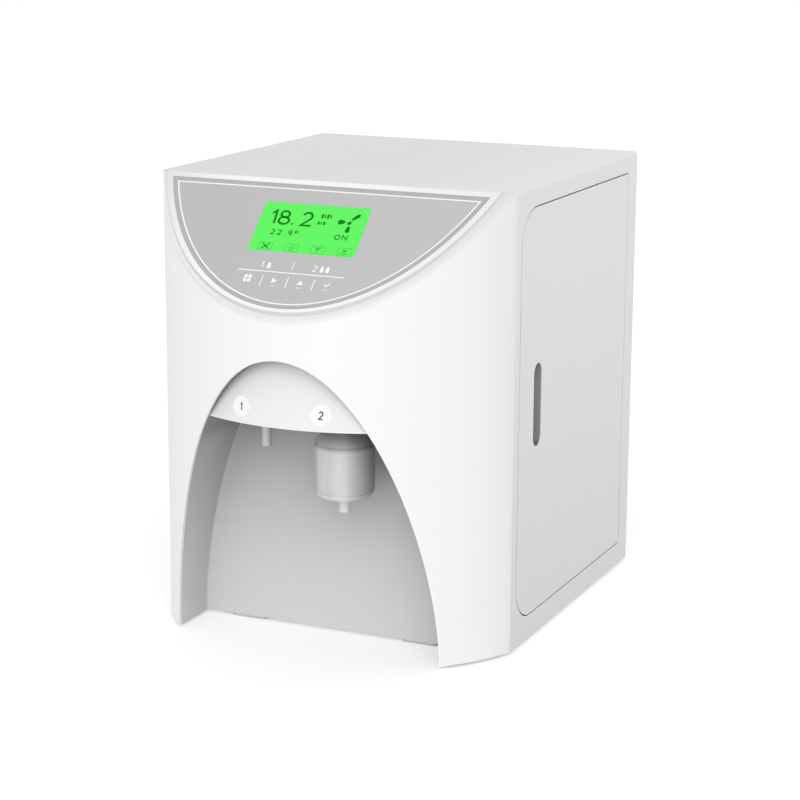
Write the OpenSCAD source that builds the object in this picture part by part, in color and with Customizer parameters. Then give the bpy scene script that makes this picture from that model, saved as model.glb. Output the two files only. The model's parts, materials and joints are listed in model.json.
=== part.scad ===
// Ultrapure water system for the laboratory bench.
// X runs to the right, Y to the back and Z up. The origin is at the bottom centre of the
// whole object, on the bench. Depths called v are measured back from the chord line that
// joins the bow's two corners, heights called z from the bench unless they say otherwise.

/* [Cabinet] */
// Width across the sides
body_w = 400; // [390:1:430]
// Depth from the bow's corners to the back
box_d = 368; // [362:1:390]
// Height of the cabinet above the bench gap
body_h = 478; // [472:1:500]
// Bow of the front past its corners
bow_sag = 132; // [128:1:136]
// Radius that softens the corners between the bow and the sides
corner_r = 30; // [15:1:40]
// Radius of the long top edges
edge_r = 5; // [4:0.5:8]
// Wall of the moulded front
fascia_t = 3.5; // [3:0.1:4]
// Wall of the cabinet's wrap
wrap_t = 3; // [2.5:0.1:3.5]
// Thickness of the inner sheet metal
sheet_t = 1.5; // [1:0.1:2]
// Gap between the cabinet and the bench
foot_h = 3; // [3:0.5:6]
// Width of a rubber foot, a rounded square
foot_w = 42; // [34:1:46]

/* [Control panel] */
// Angle of the panel from the vertical
panel_tilt = 45.5; // [44:0.5:47]
// How far the top's front edge stands ahead of the chord
top_fwd = 14.6; // [10:0.1:20]
// Side margin from the bow to the raised lip
lip_side = 5; // [3:0.5:8]
// Foot margin from the bow to the raised lip
lip_foot = 1.2; // [1:0.1:4]
// Width of the lip along the sides
lip_w = 8; // [7:0.5:11]
// Width of the lip at its foot
lip_foot_w = 4.4; // [2:0.2:6]
// Step below the lip at the top edge
step_top = 1; // [0.5:0.1:2]
// Extra slope of the face below the lip, in degrees
step_slope = 1.2; // [0.8:0.1:1.6]
// Distance from the top edge to the overlay
overlay_top = 7; // [5:0.5:10]
// Thickness of the membrane overlay
overlay_t = 0.8; // [0.6:0.1:1.2]
// Moulded plate under the overlay
panel_t = 3; // [2.5:0.1:4]
// Width of the lit screen
screen_w = 118.3; // [100:0.1:124]
// Height of the lit screen
screen_h = 60.8; // [50:0.1:64]
// Distance down the slope from the top edge to the screen's centre
screen_s = 61.5; // [58:0.5:66]
// Depth of the display module behind the plate
module_d = 9; // [7:0.5:12]

/* [Dispense bay] */
// Half width of the arch at the bench
arch_a = 150.9; // [140:0.1:154]
// Height of the arch above the cabinet's foot
arch_b = 314; // [305:1:318]
// Exponent of the arch's height
arch_p = 1.713; // [1.6:0.01:1.9]
// Exponent of the arch's width
arch_q = 2.066; // [1.9:0.01:2.2]
// Distance of the bay's back wall ahead of the chord
bay_back = 9; // [6:0.5:12]
// Wall of the bay liner
liner_t = 2.5; // [2:0.1:3]
// Height of the hood's lower edge above the cabinet's foot
hood_z = 245; // [242:1:250]
// Setback of the hood's lower edge from the bow
hood_in = 4.5; // [3.5:0.5:8]
// Lean of the hood, inward per unit of height
hood_lean = 0.2; // [0.1:0.05:0.3]
// Wall of the hood
hood_t = 3; // [2:0.1:3.5]
// Diameter of a label disc
label_d = 21; // [16:1:24]
// How far a label disc sits to the right of its outlet
label_side = 3.3; // [0:0.1:5]
// Height of the label discs above the hood's lower edge
label_up = 16.3; // [13:0.1:18]
// Distance of both outlets ahead of the chord
outlet_v = 60; // [55:1:65]
// Water nozzle, from the middle to the left
ro_x = 50; // [45:1:55]
// Polished outlet, from the middle to the right
up_x = 39.5; // [36:0.5:43]
// Outer diameter of the water nozzle
nozzle_d = 11; // [9:0.5:12]
// Length of the nozzle below the hood
nozzle_l = 37.5; // [30:0.5:45]

/* [Capsule filter] */
// Outer diameter of the capsule
capsule_d = 62; // [56:1:66]
// Height of the capsule from its bottom to its shoulder
capsule_h = 70; // [60:1:76]
// Wall of the capsule
capsule_t = 1.8; // [1.4:0.1:2.4]
// Radius of its rounded shoulders
capsule_r = 11; // [8:0.5:13]
// Diameter of its outlet
capsule_out_d = 11.4; // [9:0.2:13]
// Length of its outlet
capsule_out_l = 13.5; // [10:0.5:16]
// Pleats of the membrane
pleats = 36; // [24:2:48]

/* [Door] */
// Front margin from the chord to the opening
door_front = 12.3; // [11:0.1:16]
// Rear margin from the opening to the back
door_rear = 28.3; // [26:0.1:34]
// Margin above the opening
door_top = 20.8; // [18:0.1:26]
// Margin below the opening
door_foot = 24.8; // [20:0.1:30]
// Gap around the door
door_gap = 1.5; // [1.2:0.1:2]
// Radius of the opening's front corners
door_r = 40.8; // [30:0.1:45]
// Radius of the opening's rear corners
door_rear_r = 3; // [2:0.5:5]
// Thickness of the door's skin
skin_t = 2.5; // [2:0.1:3]
// Depth of the door's rim behind the skin
rim_d = 9.5; // [8:0.5:10]
// Width of the finger pull
pull_w = 22; // [18:1:26]
// Height of the finger pull
pull_h = 88; // [70:1:100]
// Depth of the finger pull
pull_d = 9; // [7:0.5:9.5]
// Radius of a hinge pin
pin_r = 1.5; // [1.2:0.1:1.8]
// Running clearance between pin and knuckle
pin_gap = 0.05; // [0.02:0.01:0.1]

/* [Filters] */
// Outer diameter of a cartridge
cart_d = 66; // [60:1:68]
// Spacing of the cartridges
cart_pitch = 74; // [72:0.5:76]
// Length of a cartridge body below its neck
cart_l = 320; // [280:1:330]
// Diameter of a cartridge's neck
neck_d = 34; // [30:1:36]
// Reach of a bayonet lug past the neck
lug_l = 5; // [4:0.5:6]
// Diameter of a sealing spigot
spigot_d = 22; // [18:0.5:24]
// Radial clearance of the spigot in its head
spigot_gap = 0.05; // [0.03:0.01:0.1]
// Height of a filter head
head_h = 46; // [44:1:50]

/* [Water and power] */
// Outer diameter of the tubing
tube_d = 6.35; // [6:0.05:6.5]
// Bend radius of the tubing's middle line
bend_r = 14; // [12:0.5:16]
// Radial clearance of a push-in socket on its tube
socket_gap = 0.05; // [0.03:0.01:0.1]
// How far the rear fittings stand out
port_out = 12; // [10:0.5:16]
// Diameter of a pump's motor
motor_d = 60; // [50:1:64]
// Length of a pump's motor
motor_l = 95; // [80:1:110]

/* [Hidden] */
$fn = 64;

// Hair gap between two loose pieces, and overshoot of a cut
fit = 0.3;
eps = 1;
// Half the width, and the walls' inner faces
half_w = body_w / 2;
inner_x = half_w - wrap_t;
// Heights of the cabinet's foot and top
body_z = foot_h;
top_z = foot_h + body_h;
// The bow is an arc through both corners, its centre bow_v behind the chord
bow_r = (pow(half_w, 2) + pow(bow_sag, 2)) / (2 * bow_sag);
bow_v = bow_r - bow_sag;
// The corner arcs touch the bow and the sides; the moulding ends where they meet the sides
corner_x = half_w - corner_r;
seam_v = bow_v - sqrt(pow(bow_r - corner_r, 2) - pow(corner_x, 2));
// Chord line and back of the box, with the object centred on its origin
chord_y = (bow_sag - box_d - port_out) / 2;
back_y = chord_y + box_d;
// The panel's plane meets the bow's axis this far above the top edge, along the slope
axis_s = (top_fwd + bow_v) / sin(panel_tilt);
// Half lengths of the bow's outline on that plane, across and along the slope
plane_a = bow_r;
plane_b = bow_r / sin(panel_tilt);
// Deepest step, and the moulding's inner plane
step_max = step_top + (plane_b - axis_s) * tan(step_slope);
inner_h = step_max + fascia_t;
// Planes of the bulkhead, the filter panel and the back panel
bulk_v = liner_t - bay_back;
cart_r = cart_d / 2;
door_room = 24;
cart_x = inner_x - door_room - cart_r;
panel_x = cart_x - cart_r - 14;
panel_front_v = bulk_v + sheet_t + fit;
back_v = box_d - sheet_t;
rear_v = back_v - sheet_t;
// Door opening, door and hinge axis
open_v0 = door_front;
open_v1 = box_d - door_rear;
open_z0 = body_z + door_foot;
open_z1 = top_z - door_top;
skin_x = half_w - skin_t;
hinge_in = 6;
hinge_back = 13.5;
hinge_x = half_w - hinge_in;
hinge_v = open_v1 - door_gap - hinge_back;
// Heights of the filter heads and cartridges
head_top = top_z - 38;
head_z = head_top - head_h;
head_r = 33;
neck_r = neck_d / 2;
lug_r = neck_r + lug_l;
lip_h = 5;
lug_h = 6;
lug_play = 1.5;
lug_z = head_z + lip_h + fit;
chamber_top = lug_z + lug_h + lug_play;
spigot_r = spigot_d / 2;
spigot_l = 18;
port_z = chamber_top + 11;
cart_mid = (open_v0 + open_v1) / 2;
function cart_v(i) = cart_mid + (i - 2.5) * cart_pitch;
// Tube and socket radii
tube_r = tube_d / 2;
bore_r = tube_r + socket_gap;
// Outlets
hood_abs = body_z + hood_z;
plate_top = hood_abs + hood_t;
seat_z = hood_abs + 22;
stem_in = 20;
stem_top = seat_z - 2;
neck_l = 14;
capsule_top = stem_top - stem_in - neck_l;
capsule_z = capsule_top - capsule_h;
tube_top = plate_top + 36;
run_z = body_z + arch_b + 22;
// Printed circuit boards
board_t = 1.6;
plate_h = -overlay_t - panel_t;

// Profiles and frames ------------------------------------------------------------------

// Points of an arc about c, from angle a0 to a1
function arc(c, r, a0, a1, n = 8) = [for (i = [0:n]) let (a = a0 + (a1 - a0) * i / n)
    [c[0] + r * cos(a), c[1] + r * sin(a)]];

// Extrudes an X-Z outline from depth v0 to v1
module along_y(v0, v1) {
    translate([0, chord_y + v1, 0])
        rotate([90, 0, 0])
            linear_extrude(v1 - v0)
                children();
}

// Extrudes a Y-Z outline from x0 to x1
module along_x(x0, x1) {
    translate([x0, chord_y, 0])
        rotate([90, 0, 90])
            linear_extrude(x1 - x0)
                children();
}

// Puts children in the panel's frame: X across, Y up the slope, Z out of the panel
module on_panel() {
    translate([0, chord_y - top_fwd, top_z])
        rotate([90 - panel_tilt, 0, 0])
            children();
}

// Block with its centre in X and Y at the origin and its foot at height z
module block(x, y, h, z = 0) {
    translate([-x / 2, -y / 2, z])
        cube([x, y, h]);
}

// Rectangle from the origin, with radius r0 on its near corners and r1 on its far ones
module plate_2d(w, h, r0, r1) {
    translate([r0, 0])
        square([w - r0 - r1, h]);
    translate([0, r0])
        square([r0, h - 2 * r0]);
    translate([w - r1, r1])
        square([r1, h - 2 * r1]);
    for (z = [r0, h - r0])
        translate([r0, z])
            circle(r0);
    for (z = [r1, h - r1])
        translate([w - r1, z])
            circle(r1);
}

// Upright slot with round ends, centred on the origin
module slot_2d(w, h) {
    square([w, h - w], center = true);
    for (s = [-1, 1])
        translate([0, s * (h - w) / 2])
            circle(w / 2);
}

// Plan of the front between the bow and the seam, drawn i inside its surface
module bow_plan(i) {
    far = 2 * bow_r;
    intersection() {
        union() {
            intersection() {
                translate([0, bow_v])
                    circle(bow_r - i, $fn = 180);
                polygon([[0, bow_v], [2 * corner_x, 2 * seam_v - bow_v], [2 * corner_x, -far],
                    [-2 * corner_x, -far], [-2 * corner_x, 2 * seam_v - bow_v]]);
            }
            for (s = [-1, 1])
                translate([s * corner_x, seam_v])
                    circle(corner_r - i, $fn = 120);
        }
        translate([-half_w, -far])
            square([body_w, far + seam_v]);
    }
}

// Front view of the cabinet, drawn i inside its surface and open by drop at the foot
module house_profile(i, drop = 0) {
    r = max(edge_r - i, 0.5);
    w = body_w - 2 * i;
    translate([-w / 2, body_z - drop])
        square([w, body_h + drop - i - r]);
    translate([r - w / 2, top_z - i - 2 * r])
        square([w - 2 * r, 2 * r]);
    for (s = [-1, 1])
        translate([s * (w / 2 - r), top_z - i - r])
            circle(r);
}

// The front's solid, drawn i inside its surface
module front_body(i, drop = 0) {
    intersection() {
        translate([0, chord_y, body_z - drop])
            linear_extrude(body_h + drop - i)
                bow_plan(i);
        along_y(-bow_sag - eps, seam_v)
            house_profile(i, drop);
    }
}

// All space above the plane that lies h out of the panel
module above_panel(h) {
    on_panel()
        translate([-body_w, -body_w, h])
            cube([2 * body_w, body_w + 60, 300]);
}

// D outline on the panel: an ellipse about the bow's axis, cut s_top down the slope
function d_points(a, b, s_top, n = 56) = let (t0 = asin((axis_s + s_top) / b))
    [for (i = [0:n]) let (t = t0 + (180 - 2 * t0) * i / n) [a * cos(t), axis_s - b * sin(t)]];

module d_shape(side, foot, s_top) {
    polygon(d_points(plane_a - side, plane_b - foot, s_top));
}

// Outline of the arch, drawn i inside the opening and open by drop at the foot
function arch_half(i, n = 30) = [for (k = [0:n]) let (a = 90 * k / n)
    [(arch_a - i) * pow(cos(a), 2 / arch_q), body_z + (arch_b - i) * pow(sin(a), 2 / arch_p)]];

module arch_shape(i, drop = 0) {
    right = arch_half(i);
    n = len(right) - 1;
    left = [for (k = [1:n]) [-right[n - k][0], right[n - k][1]]];
    foot = drop > 0 ? [[i - arch_a, body_z - drop], [arch_a - i, body_z - drop]] : [];
    polygon(concat(right, left, foot));
}

// Screw with a domed head, its shaft down from the origin along -Z
module screw(r, l) {
    cylinder(h = 1.6 * r, r1 = 2 * r, r2 = 1.3 * r);
    translate([0, 0, -l])
        cylinder(h = l, r = r);
}

// Front moulding ------------------------------------------------------------------------

// Width of the liner's flange behind the arch
flange_w = 14;

// Heights and half spacing of the bosses that take the bulkhead's screws
boss_x = (arch_a + flange_w + half_w - fascia_t) / 2;
boss_zs = [body_z + 60, body_z + 235, body_z + 400];
boss_r = 5;
boss_bore = 1.4;

module front_fascia() color("white") {
    difference() {
        union() {
            difference() {
                front_body(0);
                above_panel(0);
                // the face around the lip lies lower, and falls away towards the bow
                on_panel() difference() {
                    translate([0, 0, -step_top])
                        rotate([step_slope, 0, 0])
                            translate([-body_w, -body_w, 0])
                                cube([2 * body_w, body_w, 60]);
                    translate([0, 0, -30])
                        linear_extrude(60)
                            d_shape(lip_side, lip_foot, -30);
                }
                difference() {
                    front_body(fascia_t, eps);
                    above_panel(-inner_h);
                }
                along_y(seam_v - eps / 2, seam_v + eps)
                    house_profile(fascia_t, eps);
            }
            // bosses for the bulkhead's screws
            intersection() {
                front_body(fascia_t / 2);
                for (s = [-1, 1], z = boss_zs)
                    translate([s * boss_x, chord_y + bulk_v, z])
                        rotate([90, 0, 0])
                            cylinder(h = 60, r = boss_r);
            }
        }
        for (s = [-1, 1], z = boss_zs)
            translate([s * boss_x, chord_y + bulk_v + eps, z])
                rotate([90, 0, 0])
                    cylinder(h = 20 + eps, r = boss_bore);
        along_y(-bow_sag - eps, seam_v + eps)
            arch_shape(0, eps);
        on_panel() {
            // seat of the overlay
            translate([0, 0, -overlay_t])
                linear_extrude(overlay_t + eps)
                    d_shape(lip_side + lip_w - fit, lip_foot + lip_foot_w - fit, overlay_top - fit);
            // window of the screen
            translate([0, -screen_s, 0])
                block(screen_w + 2 * fit, screen_h + 2 * fit, 2 * inner_h, -2 * inner_h + 0.1);
            // pocket behind the plate
            translate([0, 0, -inner_h - eps])
                linear_extrude(inner_h + eps + plate_h)
                    d_shape(lip_side + lip_w + 4, lip_foot + 16, overlay_top + 6);
        }
    }
}

module control_overlay() color([0.76, 0.76, 0.77]) {
    on_panel() translate([0, 0, -overlay_t]) difference() {
        linear_extrude(overlay_t)
            d_shape(lip_side + lip_w, lip_foot + lip_foot_w, overlay_top);
        translate([0, -screen_s, -eps])
            block(screen_w, screen_h, overlay_t + 2 * eps);
    }
}

// Screen glass: flush with the overlay, resting on the module's frame
module display_screen() color([0.39, 0.97, 0.39]) {
    on_panel() translate([0, -screen_s, plate_h])
        block(screen_w - fit, screen_h - fit, -plate_h - 0.1);
}

frame_x = 16;
frame_y = 14;
module display_frame() color([0.25, 0.26, 0.27]) {
    on_panel() translate([0, -screen_s, plate_h - module_d]) difference() {
        block(screen_w + frame_x, screen_h + frame_y, module_d);
        for (s = [-1, 1], t = [-1, 1])
            translate([s * (screen_w + frame_x - 8) / 2, t * (screen_h + frame_y - 7) / 2, -eps])
                cylinder(h = module_d + 2 * eps, r = 1.6);
    }
}

display_post = 8;
display_board_h = plate_h - module_d - display_post - board_t;
module display_board() color([0.1, 0.42, 0.25]) {
    on_panel() translate([0, -screen_s, display_board_h]) difference() {
        union() {
            block(screen_w + 24, screen_h + 20, board_t);
            translate([-30, 0, 0])
                block(22, 22, 3, -3);
            translate([28, 18, 0])
                block(40, 8, 7, -7);
            translate([10, -20, 0])
                block(14, 10, 2.5, -2.5);
        }
        for (s = [-1, 1], t = [-1, 1])
            translate([s * (screen_w + frame_x - 8) / 2, t * (screen_h + frame_y - 7) / 2, -eps])
                cylinder(h = board_t + 2 * eps, r = 1.6);
    }
}

module display_standoffs() color([0.75, 0.76, 0.78]) {
    on_panel() for (s = [-1, 1], t = [-1, 1])
        translate([s * (screen_w + frame_x - 8) / 2, t * (screen_h + frame_y - 7) / 2 - screen_s,
            display_board_h])
            union() {
                translate([0, 0, board_t])
                    cylinder(h = display_post, r = 3);
                translate([0, 0, board_t + display_post])
                    cylinder(h = module_d - 0.5, r = 1.5);
                translate([0, 0, -1])
                    cylinder(h = board_t + 1, r = 1.5);
                translate([0, 0, -2.5])
                    cylinder(h = 1.5, r = 2.8);
            }
}

// Dispense bay --------------------------------------------------------------------------

outlets = [[-ro_x, nozzle_d / 2], [up_x, 8]];
roof_hole = 9;

module bay_liner() color([0.84, 0.84, 0.85]) {
    difference() {
        union() {
            intersection() {
                along_y(-bow_sag, bulk_v)
                    arch_shape(-liner_t);
                translate([0, chord_y, body_z])
                    linear_extrude(arch_b + 2 * flange_w)
                        bow_plan(fascia_t + fit);
            }
            along_y(-bay_back, bulk_v)
                arch_shape(-flange_w);
        }
        along_y(-bow_sag - eps, -bay_back)
            arch_shape(0, eps);
        for (o = outlets)
            translate([o[0], chord_y - outlet_v, hood_abs])
                cylinder(h = arch_b, r = roof_hole);
    }
}

// Solid cone that the hood's face follows, i inside it and cut from height z upwards
module hood_cone(i, z) {
    up = z - hood_abs;
    r = bow_r - hood_in - i;
    translate([0, chord_y + bow_v, z])
        cylinder(h = arch_b, r1 = r - up * hood_lean, r2 = r - (up + arch_b) * hood_lean, $fn = 180);
}

module dispense_hood() color("white") {
    difference() {
        intersection() {
            along_y(-bow_sag, -bay_back - fit)
                arch_shape(fit);
            hood_cone(0, hood_abs);
        }
        intersection() {
            along_y(-bow_sag, -bay_back - hood_t)
                arch_shape(fit + hood_t);
            hood_cone(hood_t, plate_top);
        }
        along_y(-bow_sag / 2, -bay_back)
            arch_shape(fit + hood_t);
        for (o = outlets)
            translate([o[0], chord_y - outlet_v, 0])
                cylinder(h = top_z, r = o[1] + 0.1);
    }
    // floor of the hood behind its cowl
    difference() {
        intersection() {
            along_y(-bow_sag / 2 - eps, -bay_back - fit)
                arch_shape(fit);
            translate([0, chord_y, hood_abs])
                block(body_w, 2 * bow_sag, hood_t);
        }
        for (o = outlets)
            translate([o[0], chord_y - outlet_v, 0])
                cylinder(h = top_z, r = o[1] + 0.1);
    }
}

label_rise = 0.6;
label_z = hood_abs + label_up;
module label_discs() color("white") {
    intersection() {
        difference() {
            hood_cone(-label_rise, hood_abs);
            hood_cone(-0.1, hood_abs - eps);
        }
        for (o = outlets)
            translate([o[0] + label_side, chord_y - bow_sag, label_z])
                rotate([-90, 0, 0])
                    cylinder(h = bow_sag - outlet_v, r = label_d / 2);
    }
}

module water_nozzle() color([0.86, 0.87, 0.88]) {
    r = nozzle_d / 2;
    translate([-ro_x, chord_y - outlet_v, 0]) difference() {
        union() {
            translate([0, 0, hood_abs - nozzle_l])
                cylinder(h = nozzle_l + hood_t, r = r);
            translate([0, 0, hood_abs - nozzle_l])
                cylinder(h = 3, r = r + 0.4);
            translate([0, 0, plate_top])
                cylinder(h = 3, r = r + 4);
            translate([0, 0, plate_top])
                cylinder(h = 24, r = 7);
        }
        translate([0, 0, hood_abs - nozzle_l - eps])
            cylinder(h = nozzle_l + 12, r = r - 2);
        translate([0, 0, plate_top - eps])
            cylinder(h = 30, r = 2);
        translate([0, 0, plate_top + 10])
            cylinder(h = 20, r = bore_r);
    }
}

module outlet_fitting() color([0.93, 0.93, 0.92]) {
    translate([up_x, chord_y - outlet_v, 0]) difference() {
        union() {
            translate([0, 0, hood_abs - 3])
                cylinder(h = 3, r = 6.2);
            translate([0, 0, hood_abs])
                cylinder(h = hood_t, r = 8);
            translate([0, 0, plate_top])
                cylinder(h = 3, r = 12);
            translate([0, 0, plate_top])
                cylinder(h = tube_top - plate_top - 2, r = 7);
        }
        translate([0, 0, hood_abs - 3 - eps])
            cylinder(h = seat_z - hood_abs + 3 + eps, r = bore_r);
        translate([0, 0, seat_z - eps])
            cylinder(h = tube_top, r = 2);
        translate([0, 0, tube_top - 14])
            cylinder(h = 20, r = bore_r);
    }
}

// Capsule filter ------------------------------------------------------------------------

capsule_rad = capsule_d / 2;

// Half section of the capsule's body, i inside its surface, with shallow domed ends
function capsule_half(i) = let (r = capsule_r, x = capsule_rad - r, d = 2)
    concat([[0, capsule_z + i], [x * 0.6, capsule_z + d * 0.35 + i]],
        arc([x, capsule_z + r + d], r - i, -80, 0),
        arc([x, capsule_top - r - d], r - i, 0, 80),
        [[x * 0.6, capsule_top - d * 0.35 - i], [0, capsule_top - i]]);

module capsule_shell() color([0.93, 0.94, 0.94, 0.6]) {
    translate([up_x, chord_y - outlet_v, 0]) difference() {
        union() {
            rotate_extrude($fn = 96)
                polygon(capsule_half(0));
            translate([0, 0, capsule_top - 2])
                cylinder(h = stem_top - capsule_top + 2, r = tube_r);
            translate([0, 0, capsule_top - 2])
                cylinder(h = 6, r1 = 9, r2 = 6);
            translate([0, 0, capsule_z - capsule_out_l])
                cylinder(h = capsule_out_l + 3, r = capsule_out_d / 2);
            translate([0, 0, capsule_z - capsule_out_l])
                cylinder(h = 2.5, r = capsule_out_d / 2 + 0.6);
        }
        rotate_extrude($fn = 96)
            polygon(capsule_half(capsule_t));
        translate([0, 0, capsule_z - capsule_out_l - eps])
            cylinder(h = capsule_out_l + 10, r = capsule_out_d / 2 - 2);
        translate([0, 0, capsule_top - 10])
            cylinder(h = stem_top - capsule_top + 12, r = tube_r - 1.1);
    }
}

// Pleated membrane between two end discs, standing on collars at both ends
module capsule_membrane() color([0.97, 0.97, 0.95]) {
    r1 = capsule_rad - capsule_t - 4;
    r0 = r1 * 0.6;
    lift = 7;
    z0 = capsule_z + capsule_t + lift;
    h = capsule_h - 2 * capsule_t - 2 * lift;
    translate([up_x, chord_y - outlet_v, z0]) difference() {
        union() {
            linear_extrude(h)
                polygon([for (i = [0:2 * pleats - 1]) let (a = 180 * i / pleats)
                    (i % 2 == 0 ? r1 : r0) * [cos(a), sin(a)]]);
            for (z = [0, h - 2])
                translate([0, 0, z])
                    cylinder(h = 2, r = r1 + 1);
            translate([0, 0, -lift + 1])
                cylinder(h = h + 2 * lift - 2, r = 8);
        }
        translate([0, 0, -lift])
            cylinder(h = h + 2 * lift, r = 6);
    }
}

// Cabinet -------------------------------------------------------------------------------

// Door opening, drawn g inside its edge
module door_shape(g) {
    translate([open_v0 + g, open_z0 + g])
        plate_2d(open_v1 - open_v0 - 2 * g, open_z1 - open_z0 - 2 * g,
            door_r - g, max(door_rear_r - g, 1));
}

module cabinet_wrap() color([0.86, 0.86, 0.87]) {
    difference() {
        along_y(seam_v, box_d)
            house_profile(0);
        along_y(seam_v - eps, rear_v)
            house_profile(wrap_t, eps);
        // rear flange, and the seat of the back panel behind it
        along_y(rear_v - eps, back_v + eps)
            house_profile(wrap_t + flange_w, eps);
        along_y(back_v, box_d + eps)
            house_profile(wrap_t, eps);
        along_x(inner_x - 8, half_w + eps)
            door_shape(0);
        back_screws(1.7);
    }
}

// Screw positions of the back panel, as bores of radius r through the rear flange
back_screw_x = half_w - 10;
back_screw_zs = [body_z + 24, body_z + 239, top_z - 24];
module back_screws(r) {
    for (s = [-1, 1], z = back_screw_zs)
        translate([s * back_screw_x, chord_y + rear_v - eps, z])
            rotate([-90, 0, 0])
                cylinder(h = 3 * sheet_t + 2 * eps, r = r);
}

pan_v0 = seam_v + fit;
foot_x = half_w - 99;
foot_vs = [foot_w / 2 - bay_back, box_d - 40];
module base_pan() color([0.7, 0.71, 0.73]) {
    w = 2 * inner_x - 2 * fit;
    difference() {
        translate([-w / 2, chord_y + pan_v0, body_z])
            cube([w, rear_v - pan_v0 - fit, 20]);
        translate([sheet_t - w / 2, chord_y + pan_v0 - eps, body_z + sheet_t])
            cube([w - 2 * sheet_t, box_d + 2 * eps, 20]);
        for (s = [-1, 1], v = foot_vs)
            translate([s * foot_x, chord_y + v, 0])
                cylinder(h = 20, r = 2.2);
    }
}

module rubber_feet() color([0.78, 0.78, 0.785]) {
    for (s = [-1, 1], v = foot_vs)
        translate([s * foot_x, chord_y + v, 0])
            union() {
                linear_extrude(foot_h)
                    offset(r = 6)
                        square(foot_w - 12, center = true);
                cylinder(h = foot_h + sheet_t, r = 2.2);
                translate([0, 0, foot_h + sheet_t])
                    cylinder(h = 2, r1 = 3.4, r2 = 2.6);
            }
}

inlet_x = -half_w + 62;
inlet_z = body_z + 60;
port_xs = [8, 48];
port_h = body_z + 60;
vent_rows = 9;
vent_pitch = 11;
module back_panel() color([0.8, 0.81, 0.82]) {
    g = wrap_t + fit / 2;
    difference() {
        along_y(back_v, box_d)
            house_profile(g);
        // two banks of cooling slots
        for (s = [-1, 1], k = [0:vent_rows - 1])
            translate([s * 78, 0, body_z + 270 + k * vent_pitch])
                along_y(back_v - eps, box_d + eps)
                    rotate(90)
                        slot_2d(4, 92);
        back_screws(1.7);
        for (x = port_xs)
            translate([x, 0, port_h])
                along_y(back_v - eps, box_d + eps)
                    circle(8.5);
        translate([inlet_x, 0, inlet_z])
            along_y(back_v - eps, box_d + eps)
                square([inlet_w - 12, inlet_h - 8], center = true);
    }
}

hole_r = 6;
module front_bulkhead() color([0.7, 0.71, 0.73]) {
    w = 2 * (half_w - fascia_t - 4);
    top = top_z - fascia_t - 2 * fit;
    difference() {
        union() {
            translate([-w / 2, chord_y + bulk_v, body_z])
                cube([w, sheet_t, top - body_z]);
            // flanges folded back at both sides and at the foot
            for (s = [-1, 1])
                translate([s * (w - sheet_t) / 2 - sheet_t / 2, chord_y + bulk_v, body_z])
                    cube([sheet_t, 12, top - body_z]);
            translate([-w / 2, chord_y + bulk_v, body_z])
                cube([w, seam_v - bulk_v, sheet_t]);
            // tab for the magnetic catch
            translate([w / 2 - 14 - sheet_t, chord_y + bulk_v, catch_z - 20])
                cube([sheet_t, 44, 40]);
        }
        for (s = [-1, 1], z = boss_zs)
            translate([s * boss_x, chord_y + bulk_v - eps, z])
                rotate([-90, 0, 0])
                    cylinder(h = 10, r = 1.8);
        for (x = [-ro_x, up_x])
            translate([x, chord_y + bulk_v - eps, run_z])
                rotate([-90, 0, 0])
                    cylinder(h = 10, r = hole_r);
        translate([0, chord_y + bulk_v - eps, top - 40])
            rotate([-90, 0, 0])
                cylinder(h = 10, r = 10);
    }
}

// Inner wall that carries the filters on its right and the valves on its left
module filter_panel() color([0.72, 0.73, 0.75]) {
    z0 = body_z + sheet_t;
    difference() {
        union() {
            translate([panel_x - sheet_t, chord_y + panel_front_v, z0])
                cube([sheet_t, rear_v - fit - panel_front_v, head_top + 20 - z0]);
            translate([panel_x - 14, chord_y + panel_front_v, z0])
                cube([14, sheet_t, head_top + 20 - z0]);
            translate([panel_x - 14, chord_y + panel_front_v, z0])
                cube([14, rear_v - fit - panel_front_v, sheet_t]);
        }
        for (v = [product_v, head_feed_v])
            translate([panel_x - 5, chord_y + v, port_z])
                rotate([0, 90, 0])
                    cylinder(h = 10, r = hole_r);
    }
}

module head_rail() color([0.78, 0.79, 0.8]) {
    v0 = cart_v(1) - head_r;
    l = 3 * cart_pitch + 2 * head_r;
    translate([panel_x, chord_y + v0, head_top])
        cube([cart_x - panel_x + 24, l, sheet_t]);
    translate([panel_x, chord_y + v0, head_top])
        cube([sheet_t, l, 18]);
}

// Door ----------------------------------------------------------------------------------

pull_v = open_v0 + 52.4;
pull_z = body_z + 249;
knuckle_h = 14;
knuckle_z = 40;
tab_t = 2.5;
catch_z = body_z + 360;
catch_v = 30;

// Finger pull's outline, g outside its edge
module pull_shape(g) {
    translate([pull_v, pull_z])
        slot_2d(pull_w + 2 * g, pull_h + 2 * g);
}

// Heights of the two knuckles' lower faces
knuckle_zs = [open_z0 + knuckle_z, open_z1 - knuckle_z - knuckle_h];

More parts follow.
